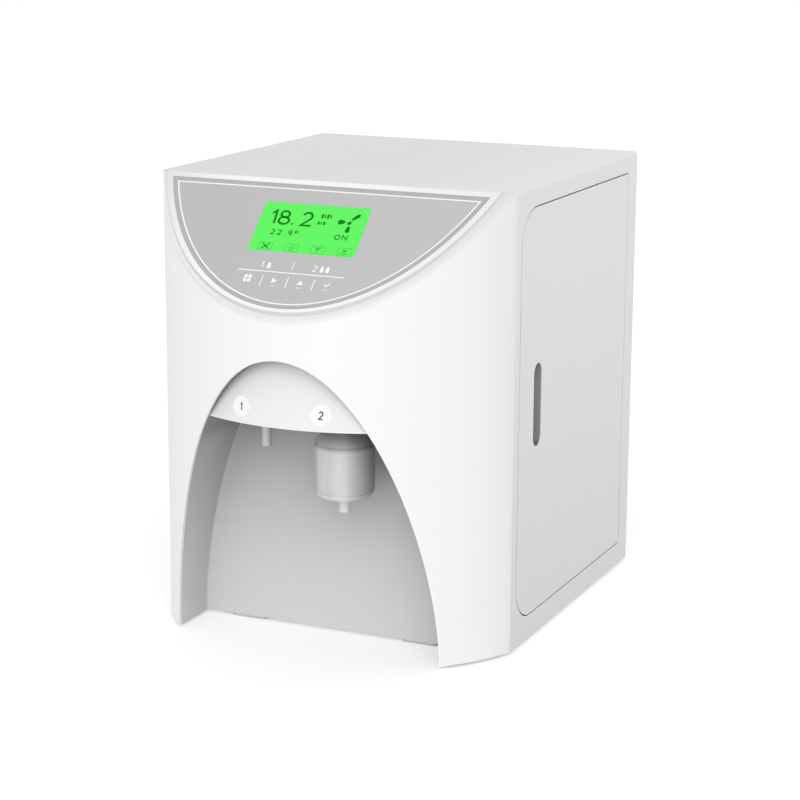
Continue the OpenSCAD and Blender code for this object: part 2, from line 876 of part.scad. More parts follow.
module side_door() color([0.87, 0.87, 0.88]) {
    wall = 2;
    x0 = skin_x - rim_d;
    difference() {
        union() {
            along_x(skin_x, half_w)
                door_shape(door_gap);
            // rim on three sides, open along the hinge
            along_x(x0, skin_x) difference() {
                door_shape(door_gap + 2);
                door_shape(door_gap + 2 + wall);
                translate([hinge_v - 12, open_z0])
                    square([60, open_z1 - open_z0]);
            }
            along_x(half_w - pull_d - wall, skin_x)
                pull_shape(wall);
            // stem that carries the strike plate
            translate([x0 + 1, chord_y + catch_v, catch_z])
                translate([0, -8, -12])
                    cube([skin_x - x0 - 1, 16, 24]);
            // knuckles around the hinge axis
            for (z = knuckle_zs)
                translate([hinge_x - 3.5, chord_y + hinge_v - 4, z])
                    cube([skin_x - hinge_x + 3.5, 8, knuckle_h]);
        }
        along_x(half_w - pull_d, half_w + eps)
            pull_shape(0);
        for (z = knuckle_zs)
            translate([hinge_x, chord_y + hinge_v, z - eps])
                cylinder(h = knuckle_h + 2 * eps, r = pin_r + pin_gap);
    }
}

module strike_plate() color([0.75, 0.76, 0.78]) {
    translate([skin_x - rim_d, chord_y + catch_v - 8, catch_z - 12])
        cube([1, 16, 24]);
}

module magnetic_catch() color([0.3, 0.3, 0.32]) {
    tab_x = half_w - fascia_t - 4 - 14;
    x1 = skin_x - rim_d - fit;
    difference() {
        translate([tab_x, chord_y + catch_v - 8, catch_z - 14])
            cube([x1 - tab_x, 14, 28]);
        // slot between the magnet's two pole plates
        translate([x1 - 2, chord_y + catch_v - 4, catch_z - 15])
            cube([3, 6, 30]);
    }
}

// Cranked tab that reaches the pin round the door's swinging edge
module hinge_tab() {
    edge = hinge_back + door_gap;
    difference() {
        translate([-22, -6.3])
            square([22 + wrap_reach, edge + 25]);
        circle(edge + 1);
    }
    translate([-22, -6.3])
        square([22, 4]);
    translate([-eye_r, -6.3])
        square([2 * eye_r - 1, 6.3]);
    circle(eye_r);
}
eye_r = 3;
wrap_reach = hinge_in - wrap_t;

module hinge_brackets() color([0.72, 0.73, 0.75]) {
    for (k = [0, 1])
        translate([hinge_x, chord_y + hinge_v,
            k == 0 ? knuckle_zs[0] - tab_t - fit : knuckle_zs[1] + knuckle_h + fit])
            difference() {
                union() {
                    linear_extrude(tab_t)
                        hinge_tab();
                    // foot that fastens to the wrap
                    translate([wrap_reach - 2, hinge_back + door_gap + 3, k == 0 ? -20 : tab_t])
                        cube([2, 15, 20]);
                }
                translate([0, 0, -eps])
                    cylinder(h = tab_t + 2 * eps, r = pin_r);
            }
}

module hinge_pins() color([0.8, 0.81, 0.83]) {
    for (k = [0, 1])
        translate([hinge_x, chord_y + hinge_v,
            k == 0 ? knuckle_zs[0] - tab_t - fit : knuckle_zs[1] + 1])
            cylinder(h = knuckle_h + tab_t + fit - 1, r = pin_r);
}

// Filters -------------------------------------------------------------------------------

module filter_head(i) {
    slot_half = 24;
    translate([cart_x, chord_y + cart_v(i), 0]) difference() {
        union() {
            translate([0, 0, head_z])
                cylinder(h = head_h, r = head_r);
            translate([0, 0, head_top - 10])
                block(2 * head_r, 30, 10);
        }
        // mouth, with two slots for the lugs
        translate([0, 0, head_z - eps])
            cylinder(h = lip_h + 2 * eps, r = neck_r + fit);
        translate([0, 0, head_z - eps])
            lug_sectors(lug_r + fit, slot_half, lip_h + 2 * eps, 0);
        // chamber where the lugs turn
        translate([0, 0, head_z + lip_h])
            cylinder(h = chamber_top - head_z - lip_h, r = lug_r + fit);
        // seal bore and the two water ways
        translate([0, 0, chamber_top - eps])
            cylinder(h = spigot_l + 3, r = spigot_r + spigot_gap);
        translate([0, -head_r - eps, port_z])
            rotate([-90, 0, 0])
                cylinder(h = 2 * head_r + 2 * eps, r = 2.5);
        for (s = [0, 180])
            rotate([0, 0, s])
                translate([0, spigot_r + 6, port_z])
                    rotate([-90, 0, 0])
                        cylinder(h = head_r, r = bore_r);
    }
}

// Two opposite sectors of radius r and half angle a, turned by turn
module lug_sectors(r, a, h, turn) {
    far = 2 * r;
    intersection() {
        cylinder(h = h, r = r);
        for (s = [0, 180])
            rotate([0, 0, s + turn])
                linear_extrude(h)
                    polygon([[0, 0], [far, -far * tan(a)], [far, far * tan(a)]]);
    }
}

ring_r = 0.9;
ring_zs = [4, 9];

module cartridge(i) {
    z1 = head_z - 4;
    z0 = z1 - cart_l + 4;
    dome = 14;
    translate([cart_x, chord_y + cart_v(i), 0]) difference() {
        union() {
            rotate_extrude($fn = 96)
                polygon(concat([[0, z0], [cart_r - dome - 2, z0]],
                    arc([cart_r - dome, z0 + dome], dome, -90, 0),
                    arc([cart_r - dome, z1 - dome], dome, 0, 90),
                    [[neck_r, z1], [0, z1]]));
            translate([0, 0, z1 - eps])
                cylinder(h = chamber_top - lug_play - z1 + eps, r = neck_r);
            translate([0, 0, lug_z])
                lug_sectors(lug_r, 18, lug_h, 90);
            translate([0, 0, chamber_top - lug_play - eps])
                cylinder(h = spigot_l + lug_play, r = spigot_r);
        }
        for (z = ring_zs)
            translate([0, 0, chamber_top + z]) difference() {
                cylinder(h = 2 * ring_r + 0.2, r = spigot_r + eps);
                translate([0, 0, -eps])
                    cylinder(h = 2 * ring_r + 2 * eps + 0.2, r = spigot_r - 2 * ring_r);
            }
        // water way up the spigot
        translate([0, 0, z1])
            cylinder(h = 60, r = 4);
        // grip flutes round the shoulder
        for (k = [0:11])
            rotate([0, 0, 30 * k])
                translate([cart_r + 1.5, 0, z1 - 70])
                    cylinder(h = 80, r = 4, $fn = 32);
        // shallow grooves that part the end caps from the tube
        for (z = [z0 + 26, z1 - 78])
            translate([0, 0, z]) difference() {
                cylinder(h = 1.5, r = cart_r + eps);
                translate([0, 0, -eps])
                    cylinder(h = 1.5 + 2 * eps, r = cart_r - 0.8);
            }
    }
}

module seal_rings(i) {
    translate([cart_x, chord_y + cart_v(i), chamber_top])
        for (z = ring_zs)
            translate([0, 0, z + ring_r + 0.1])
                rotate_extrude($fn = 64)
                    translate([spigot_r - ring_r, 0])
                        circle(ring_r, $fn = 16);
}

module link_nipples() color([0.9, 0.9, 0.9]) {
    for (i = [1:3])
        translate([cart_x, chord_y + cart_v(i) + spigot_r + 6, port_z])
            rotate([-90, 0, 0])
                difference() {
                    cylinder(h = cart_pitch - 2 * spigot_r - 12, r = tube_r);
                    translate([0, 0, -eps])
                        cylinder(h = cart_pitch, r = 2);
                }
}

// Pumps and valves ------------------------------------------------------------------------

mount_h = 8;
pump_z = body_z + sheet_t + mount_h;
pump_vs = [60, 60];
pump_xs = [-half_w + 92, -half_w + 190];
pump_mount_x = 26;
pump_mount_v = [46, 100];

// Diaphragm pump lying along Y: motor at the back, head with two ports in front
module pump(k) {
    head_l = 38;
    axis_z = motor_d / 2 + 4;
    translate([pump_xs[k], chord_y + pump_vs[k], pump_z]) difference() {
        union() {
            translate([-34, 0, 0])
                cube([68, head_l + motor_l * 0.75, 2]);
            translate([0, head_l, axis_z])
                rotate([-90, 0, 0])
                    cylinder(h = motor_l, r = motor_d / 2);
            translate([0, head_l + motor_l, axis_z])
                rotate([-90, 0, 0])
                    cylinder(h = 6, r = 12);
            translate([0, head_l - 3, axis_z])
                rotate([-90, 0, 0])
                    cylinder(h = 3, r = motor_d / 2 + 3);
            translate([0, head_l / 2, 0])
                block(62, head_l - 4, axis_z + 28);
            for (s = [-1, 1])
                translate([s * 18, head_l / 2, axis_z + 20])
                    cylinder(h = 22, r = 7);
            translate([0, head_l + motor_l * 0.4, 0])
                block(40, 30, axis_z);
        }
        for (s = [-1, 1])
            translate([s * 18, head_l / 2, axis_z + 28])
                cylinder(h = 20, r = bore_r);
        for (s = [-1, 1], v = pump_mount_v)
            translate([s * pump_mount_x, v, -eps])
                cylinder(h = 2 + 2 * eps, r = 2.5);
    }
}

module pump_mounts() color([0.18, 0.18, 0.19]) {
    for (k = [0, 1], s = [-1, 1], v = pump_mount_v)
        translate([pump_xs[k] + s * pump_mount_x, chord_y + pump_vs[k] + v, body_z + sheet_t])
            union() {
                cylinder(h = mount_h, r = 5);
                cylinder(h = mount_h + 2, r = 2.5);
                translate([0, 0, mount_h + 2])
                    cylinder(h = 1.5, r = 4);
            }
}

// Solenoid valve on the filter panel's left face: ports along Y, coil standing out
module valve(v, z) {
    translate([panel_x - sheet_t, chord_y + v, z]) difference() {
        union() {
            translate([-22, -15, -10])
                cube([22, 30, 20]);
            translate([-52, -14, -17])
                cube([30, 28, 34]);
            translate([-60, 0, 0])
                rotate([0, 90, 0])
                    cylinder(h = 10, r = 7);
            translate([-11, -26, 0])
                rotate([-90, 0, 0])
                    cylinder(h = 52, r = 7);
        }
        translate([-11, -26 - eps, 0])
            rotate([-90, 0, 0])
                cylinder(h = 54, r = 2);
        for (s = [0, 180])
            translate([-11, 0, 0])
                rotate([0, 0, s])
                    translate([0, 14, 0])
                        rotate([-90, 0, 0])
                            cylinder(h = 20, r = bore_r);
    }
}

valve_z = body_z + 250;
// the product and nozzle tubes run midway between the bulkhead and the first head
product_v = (bulk_v + sheet_t + cart_v(1) - head_r) / 2;
inlet_valve_v = box_d - 78;
flush_valve_v = box_d - 178;
outlet_valve_v = product_v + 46.5;
switch_v = outlet_valve_v + 60;

module pressure_switch() color([0.2, 0.2, 0.22]) {
    translate([panel_x - sheet_t, chord_y + switch_v, valve_z + 60])
        rotate([0, -90, 0])
            union() {
                cylinder(h = 4, r = 9);
                cylinder(h = 16, r = 5);
                translate([0, 0, 12])
                    cylinder(h = 8, r = 11, $fn = 6);
                translate([0, 0, 20])
                    cylinder(h = 22, r = 13);
                for (s = [-1, 1])
                    translate([s * 5, 0, 42])
                        block(1, 6, 8);
            }
}

module conductivity_cell() color([0.55, 0.57, 0.6]) {
    translate([panel_x - sheet_t, chord_y + outlet_valve_v, valve_z + 60]) difference() {
        union() {
            translate([-22, -9, -9])
                cube([22, 18, 18]);
            translate([-11, 0, -26])
                cylinder(h = 52, r = 7);
            translate([-44, 0, 0])
                rotate([0, 90, 0])
                    cylinder(h = 24, r = 6);
        }
        translate([-11, 0, -26 - eps])
            cylinder(h = 54, r = 2);
        for (z = [-26 - eps, 14])
            translate([-11, 0, z])
                cylinder(h = 12 + eps, r = bore_r);
    }
}

// Tubing ----------------------------------------------------------------------------------

// Tube along a path of right angles, its corners rounded to the bend radius
module tube_path(p) {
    n = len(p) - 1;
    for (i = [0:n - 1]) {
        d = p[i + 1] - p[i];
        l = norm(d);
        u = d / l;
        a = i == 0 ? 0 : bend_r;
        b = i == n - 1 ? 0 : bend_r;
        translate(p[i] + u * a)
            turn_to(u)
                cylinder(h = l - a - b, r = tube_r, $fn = 32);
        if (i < n - 1) {
            w = (p[i + 2] - p[i + 1]) / norm(p[i + 2] - p[i + 1]);
            elbow(p[i + 1] - u * bend_r + w * bend_r, -w, u);
        }
    }
}

// Turns +Z to the axis direction u
module turn_to(u) {
    rotate([0, acos(u[2]), atan2(u[1], u[0])])
        children();
}

// Quarter bend about c, from direction a of its centre to direction b
module elbow(c, a, b) {
    k = cross(a, b);
    rx = [a[0], b[0], k[0]];
    ry = [a[1], b[1], k[1]];
    rz = [a[2], b[2], k[2]];
    multmatrix([[rx[0], rx[1], rx[2], c[0]], [ry[0], ry[1], ry[2], c[1]],
        [rz[0], rz[1], rz[2], c[2]], [0, 0, 0, 1]])
        rotate_extrude(angle = 90, $fn = 64)
            translate([bend_r, 0])
                circle(tube_r, $fn = 32);
}

valve_x = panel_x - sheet_t - 11;
feed_v = cart_v(4) + head_r + 9;
head_feed_v = cart_v(4) + head_r + 18;
port_y = back_y - 14;

// Feed: rear fitting, up to the inlet valve, and on over the panel into the first head
module feed_tube() color([0.85, 0.87, 0.9]) {
    x = port_xs[1];
    y = chord_y + feed_v;
    tube_path([[x, port_y, port_h], [x, y, port_h], [x, y, valve_z], [valve_x, y, valve_z],
        [valve_x, chord_y + inlet_valve_v + 14, valve_z]]);
    tube_path([[valve_x, chord_y + inlet_valve_v - 14, valve_z],
        [valve_x, chord_y + inlet_valve_v - 42, valve_z],
        [valve_x, chord_y + inlet_valve_v - 42, port_z], [valve_x, chord_y + head_feed_v, port_z],
        [cart_x, chord_y + head_feed_v, port_z],
        [cart_x, chord_y + cart_v(4) + spigot_r + 6, port_z]]);
}

// Product: last head, over the bay and down into the outlet fitting
module product_tube() color([0.85, 0.87, 0.9]) {
    tube_path([[cart_x, chord_y + cart_v(1) - spigot_r - 6, port_z],
        [cart_x, chord_y + product_v, port_z], [up_x, chord_y + product_v, port_z],
        [up_x, chord_y + product_v, run_z], [up_x, chord_y - outlet_v, run_z],
        [up_x, chord_y - outlet_v, tube_top - 14]]);
}

// Nozzle: outlet valve, over the bay and down into the water nozzle
module nozzle_tube() color([0.85, 0.87, 0.9]) {
    x = valve_x;
    v = outlet_valve_v - 14;
    tube_path([[x, chord_y + v, valve_z], [x, chord_y + product_v, valve_z],
        [x, chord_y + product_v, run_z - 34], [-ro_x, chord_y + product_v, run_z - 34],
        [-ro_x, chord_y + product_v, run_z], [-ro_x, chord_y - outlet_v, run_z],
        [-ro_x, chord_y - outlet_v, plate_top + 10]]);
}

// Drain: flush valve to the second rear fitting
module drain_tube() color([0.85, 0.87, 0.9]) {
    x = valve_x;
    tube_path([[x, chord_y + flush_valve_v + 14, valve_z], [x, chord_y + flush_valve_v + 50, valve_z],
        [x, chord_y + flush_valve_v + 50, port_h + 70], [port_xs[0], chord_y + flush_valve_v + 50,
        port_h + 70], [port_xs[0], chord_y + flush_valve_v + 50, port_h],
        [port_xs[0], port_y, port_h]]);
}

// Push-in fittings through the back panel
module water_ports() color([0.93, 0.93, 0.92]) {
    for (x = port_xs)
        translate([x, back_y, port_h])
            rotate([-90, 0, 0])
                difference() {
                    union() {
                        cylinder(h = port_out - 3, r = 8.4);
                        cylinder(h = 3, r = 11);
                        cylinder(h = port_out, r = 5.6);
                        translate([0, 0, -sheet_t])
                            cylinder(h = sheet_t, r = 8.4);
                        translate([0, 0, -sheet_t - 5])
                            cylinder(h = 5, r = 11.5, $fn = 6);
                        translate([0, 0, -24])
                            cylinder(h = 22, r = 7);
                    }
                    translate([0, 0, port_out - 18])
                        cylinder(h = 18 + eps, r = bore_r);
                    translate([0, 0, -30])
                        cylinder(h = 40, r = 2.2);
                    translate([0, 0, -24 - eps])
                        cylinder(h = 10 + eps, r = bore_r);
                }
}

// Electrics -------------------------------------------------------------------------------

bracket_x = -half_w + 52;
bracket_v = box_d - 173;
bracket_l = 140;
bracket_h = 200;

module board_bracket() color([0.7, 0.71, 0.73]) {
    z = body_z + sheet_t;
    difference() {
        union() {
            translate([bracket_x, chord_y + bracket_v, z])
                cube([sheet_t, bracket_l, bracket_h]);
            translate([bracket_x, chord_y + bracket_v, z])
                cube([24, bracket_l, sheet_t]);
        }
        for (v = [20, bracket_l - 20])
            translate([bracket_x + 14, chord_y + bracket_v + v, z - eps])
                cylinder(h = 5, r = 2.2);
    }
}

supply_w = 40;
module power_supply() color([0.66, 0.68, 0.7]) {
    z = body_z + 96;
    translate([bracket_x - supply_w, chord_y + bracket_v + 4, z]) difference() {
        cube([supply_w, 98, 120]);
        // vent slots in the outer face
        for (k = [0:7])
            translate([-eps, 12, 16 + k * 12])
                cube([2 + eps, 74, 4]);
        translate([8, 14, 118])
            cube([24, 70, 3]);
    }
}

post_h = 8;
board_z = body_z + 60;
board_holes = [[8, 8], [102, 8], [8, 122], [102, 122]];
module board_standoffs() color([0.78, 0.78, 0.8]) {
    for (h = board_holes)
        translate([bracket_x + sheet_t, chord_y + bracket_v + 12 + h[0], board_z + h[1]])
            rotate([0, 90, 0])
                union() {
                    cylinder(h = post_h, r = 3);
                    cylinder(h = post_h + board_t + 1.5, r = 1.5);
                    translate([0, 0, post_h + board_t])
                        cylinder(h = 1.5, r = 2.8);
                }
}

module main_board() color([0.08, 0.4, 0.22]) {
    x = bracket_x + sheet_t + post_h;
    translate([x, chord_y + bracket_v + 12, board_z]) difference() {
        union() {
            cube([board_t, 110, 130]);
            for (k = [0:4])
                translate([board_t, 14 + k * 17, 100])
                    cube([14, 13, 18]);
            translate([board_t, 30, 50])
                cube([2.5, 24, 24]);
            translate([board_t, 14, 14])
                cube([9, 80, 8]);
            for (k = [0:2])
                translate([board_t - 0.1, 72 + k * 12, 60])
                    rotate([0, 90, 0])
                        cylinder(h = 16, r = 5);
        }
        for (h = board_holes)
            translate([-eps, h[0], h[1]])
                rotate([0, 90, 0])
                    cylinder(h = 10, r = 1.6);
    }
}

// Power inlet: three-pin socket beside a switch and over a fuse drawer
inlet_w = 78;
inlet_h = 44;
socket_x = -16;
socket_w = 24.4;
socket_h = 16.8;
rocker_x = 20;
rocker_w = 13;
rocker_h = 20;
drawer_z = -14.5;
drawer_w = 24;
drawer_h = 7;

rocker_deg = 8;
rocker_in = 3;
axle_r = 1.2;
axle_l = 2;
cut = 5.6;
socket_points = let (x = socket_w / 2, z = socket_h / 2)
    [[-x, -z], [x, -z], [x, z - cut], [x - cut, z], [cut - x, z], [-x, z - cut]];

module power_inlet() color([0.12, 0.12, 0.13]) {
    translate([inlet_x, back_y, inlet_z]) {
        difference() {
            union() {
                translate([-inlet_w / 2, 0, -inlet_h / 2])
                    cube([inlet_w, 2.5, inlet_h]);
                translate([-(inlet_w - 13) / 2, -28, -(inlet_h - 9) / 2])
                    cube([inlet_w - 13, 28, inlet_h - 9]);
            }
            // socket with its two upper corners cut
            translate([socket_x, 20, 5])
                rotate([90, 0, 0])
                    linear_extrude(37)
                        polygon(socket_points);
            translate([rocker_x - rocker_w / 2 - fit, -12, -rocker_h / 2 - fit])
                cube([rocker_w + 2 * fit, 30, rocker_h + 2 * fit]);
            translate([socket_x - drawer_w / 2 - fit, -22, drawer_z - drawer_h / 2 + 2.5 - fit])
                cube([drawer_w + 2 * fit, 30, drawer_h + 2 * fit]);
            // bearings of the rocker's axle
            translate([rocker_x - rocker_w / 2 - axle_l, -rocker_in, 0])
                rotate([0, 90, 0])
                    cylinder(h = rocker_w + 2 * axle_l, r = axle_r + pin_gap);
        }
        // contact pins
        for (p = [[-7, 3], [7, 3], [0, 7]])
            translate([socket_x + p[0] - 1, -18, p[1] - 2])
                cube([2, 14, 4]);
    }
}

module fuse_drawer() color([0.2, 0.2, 0.21]) {
    translate([inlet_x + socket_x, back_y, inlet_z + drawer_z + 2.5]) difference() {
        union() {
            translate([-drawer_w / 2, -20, -drawer_h / 2])
                cube([drawer_w, 22.5, drawer_h]);
            translate([-drawer_w / 2 - 1, 2.8, -drawer_h / 2 - 0.5])
                cube([drawer_w + 2, 1.5, drawer_h + 1]);
            translate([-drawer_w / 2, 2.4, -drawer_h / 2])
                cube([drawer_w, 1, drawer_h]);
        }
        // troughs of the working fuse and the spare
        for (y = [-18, -9])
            translate([-10.3, y, 1.8 - drawer_h / 2])
                cube([20.6, 6, drawer_h]);
    }
}

// Rocker: a shallow V on a round belly, tipped to one side about its axle
module rocker_switch() color([0.07, 0.07, 0.08]) {
    l = rocker_h / 2 - 1;
    translate([inlet_x + rocker_x, back_y - rocker_in, inlet_z])
        rotate([rocker_deg, 0, 0])
            rotate([90, 0, 90]) {
                translate([0, 0, -rocker_w / 2])
                    linear_extrude(rocker_w)
                        polygon(concat([[4.4, -l], [2.8, 0], [4.4, l], [2, l]],
                            arc([0, 0], 7.5, 75, 285, 14), [[2, -l]]));
                translate([0, 0, -rocker_w / 2 - axle_l + fit])
                    cylinder(h = rocker_w + 2 * axle_l - 2 * fit, r = axle_r);
            }
}

module panel_screws() color([0.75, 0.76, 0.78]) {
    // bulkhead to front moulding
    for (s = [-1, 1], z = boss_zs)
        translate([s * boss_x, chord_y + bulk_v + sheet_t, z])
            rotate([-90, 0, 0])
                screw(1.4, 14);
    // back panel to the wrap's rear flange
    for (s = [-1, 1], z = back_screw_zs)
        translate([s * back_screw_x, back_y, z])
            rotate([-90, 0, 0])
                screw(1.6, 6);
}

front_fascia();
control_overlay();
display_screen();
display_frame();
display_board();
display_standoffs();
bay_liner();
dispense_hood();
label_discs();
water_nozzle();
outlet_fitting();
capsule_shell();
capsule_membrane();
cabinet_wrap();
base_pan();
back_panel();
front_bulkhead();
filter_panel();
head_rail();
side_door();
strike_plate();
magnetic_catch();
hinge_brackets();
hinge_pins();
rubber_feet();
color([0.3, 0.32, 0.36]) filter_head(1);  // filter_head_1
color([0.3, 0.32, 0.36]) filter_head(2);  // filter_head_2
color([0.3, 0.32, 0.36]) filter_head(3);  // filter_head_3
color([0.3, 0.32, 0.36]) filter_head(4);  // filter_head_4
color("white") cartridge(4);  // sediment_cartridge
color("white") cartridge(3);  // carbon_cartridge
color("white") cartridge(2);  // membrane_cartridge
color("white") cartridge(1);  // polishing_cartridge
color([0.1, 0.1, 0.1]) seal_rings(1);  // seal_rings_1
color([0.1, 0.1, 0.1]) seal_rings(2);  // seal_rings_2
color([0.1, 0.1, 0.1]) seal_rings(3);  // seal_rings_3
color([0.1, 0.1, 0.1]) seal_rings(4);  // seal_rings_4
link_nipples();
color([0.28, 0.29, 0.31]) pump(0);  // booster_pump
color([0.28, 0.29, 0.31]) pump(1);  // circulation_pump
pump_mounts();
color([0.9, 0.9, 0.88]) valve(inlet_valve_v, valve_z);  // inlet_valve
color([0.9, 0.9, 0.88]) valve(flush_valve_v, valve_z);  // flush_valve
color([0.9, 0.9, 0.88]) valve(outlet_valve_v, valve_z);  // outlet_valve
pressure_switch();
conductivity_cell();
feed_tube();
product_tube();
nozzle_tube();
drain_tube();
power_supply();
board_bracket();
main_board();
board_standoffs();
water_ports();
power_inlet();
fuse_drawer();
rocker_switch();
panel_screws();
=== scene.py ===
"""Looks of a bench-top ultrapure water system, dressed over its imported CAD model.

Everything is in metres in the model's own frame: X to the right, Y to the back and Z up,
with the origin on the bench under the middle of the object. Sizes in the classes below
are in millimetres, as on the drawing, and are turned into metres where a mesh is made.
"""

import json
import logging
import math
from dataclasses import dataclass
from enum import Enum
from typing import Callable, ClassVar, Sequence, Union

import bmesh
import bpy
from mathutils import Matrix, Vector

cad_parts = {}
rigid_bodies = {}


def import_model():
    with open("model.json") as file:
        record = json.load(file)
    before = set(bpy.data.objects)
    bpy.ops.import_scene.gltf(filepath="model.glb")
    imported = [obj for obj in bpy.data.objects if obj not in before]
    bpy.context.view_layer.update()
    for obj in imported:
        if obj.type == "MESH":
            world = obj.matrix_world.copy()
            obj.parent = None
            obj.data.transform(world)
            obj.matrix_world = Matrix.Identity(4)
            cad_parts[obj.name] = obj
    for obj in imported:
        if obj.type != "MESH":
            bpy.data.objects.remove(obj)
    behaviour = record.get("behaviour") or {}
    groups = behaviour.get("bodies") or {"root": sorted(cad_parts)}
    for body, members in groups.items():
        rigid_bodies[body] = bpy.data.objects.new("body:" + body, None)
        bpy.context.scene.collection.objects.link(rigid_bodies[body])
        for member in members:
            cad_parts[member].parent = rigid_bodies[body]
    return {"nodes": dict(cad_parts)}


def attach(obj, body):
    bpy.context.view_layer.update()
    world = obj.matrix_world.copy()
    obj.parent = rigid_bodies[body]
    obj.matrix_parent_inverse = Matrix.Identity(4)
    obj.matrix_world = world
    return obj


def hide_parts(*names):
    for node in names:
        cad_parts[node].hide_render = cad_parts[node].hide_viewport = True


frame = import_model()

log = logging.getLogger("water_system")

MM = 0.001  # metres in a millimetre
PER_METRE = 1000.0  # millimetres in a metre
Rgb = tuple[float, float, float]
Point2 = tuple[float, float]
Point3 = tuple[float, float, float]
Outline = list[Point2]
Place = Callable[[float, float, float], Point3]


# Shader trees ---------------------------------------------------------------------------


def _operator(operation: str, swap: bool = False) -> Callable[..., "Sock"]:
    """Makes a method that runs one operation of the Math node.

    Args:
        operation: the node's operation.
        swap: whether the socket comes last, as with a number on its left.

    Returns:
        The method.
    """

    def method(self: "Sock", *others: "Value") -> "Sock":
        """Adds the node and hands back its output."""
        values = dict(enumerate((*others, self) if swap else (self, *others)))
        return self.shader.add("ShaderNodeMath", {"operation": operation}, values)

    return method


class Sock:
    """One output of a shader tree that takes part in Python arithmetic."""

    def __init__(self, shader: "Shader", link: bpy.types.NodeSocket) -> None:
        """Wraps an output socket of the shader's tree."""
        self.shader = shader
        self.link = link

    __add__ = __radd__ = _operator("ADD")
    __sub__ = _operator("SUBTRACT")
    __rsub__ = _operator("SUBTRACT", swap=True)
    __mul__ = __rmul__ = _operator("MULTIPLY")
    __truediv__ = _operator("DIVIDE")
    __pow__ = _operator("POWER")
    __gt__ = _operator("GREATER_THAN")
    __lt__ = _operator("LESS_THAN")
    __abs__ = _operator("ABSOLUTE")
    most = _operator("MAXIMUM")
    least = _operator("MINIMUM")
    wave = _operator("SINE")
    root = _operator("SQRT")

    def rise(self, low: float, high: float) -> "Sock":
        """0 up to the low value, 1 from the high one, and smooth between them."""
        inputs = {"Value": self, "From Min": low, "From Max": high}
        return self.shader.add("ShaderNodeMapRange", {"interpolation_type": "SMOOTHSTEP"}, inputs)


Value = Union[float, Sock]
Stops = Sequence[Point2]


def new_node(
    tree: bpy.types.NodeTree, kind: str, settings: dict | None, inputs: dict | None
) -> bpy.types.Node:
    """Adds one node of any type to any tree.

    Args:
        tree: the tree.
        kind: the node's type.
        settings: its own settings, set first; "stops" fills a colour ramp.
        inputs: values, links or lists of links for its sockets, by name or number.

    Returns:
        The new node.
    """
    node = tree.nodes.new(kind)
    for key, value in (settings or {}).items():
        if key == "stops":
            fill_ramp(node.color_ramp, value)
        else:
            setattr(node, key, value)
    for key, value in (inputs or {}).items():
        for item in value if isinstance(value, list) else [value]:
            source = item.link if isinstance(item, Sock) else item
            if isinstance(source, bpy.types.NodeSocket):
                tree.links.new(source, node.inputs[key])
            else:
                node.inputs[key].default_value = source
    return node


def fill_ramp(ramp: bpy.types.ColorRamp, stops: Stops) -> None:
    """Sets the stops of a colour ramp.

    Args:
        ramp: the ramp.
        stops: pairs of position and grey level.
    """
    while len(ramp.elements) < len(stops):
        ramp.elements.new(1.0)
    for element, (position, level) in zip(ramp.elements, stops):
        element.position = position
        element.color = (level, level, level, 1.0)


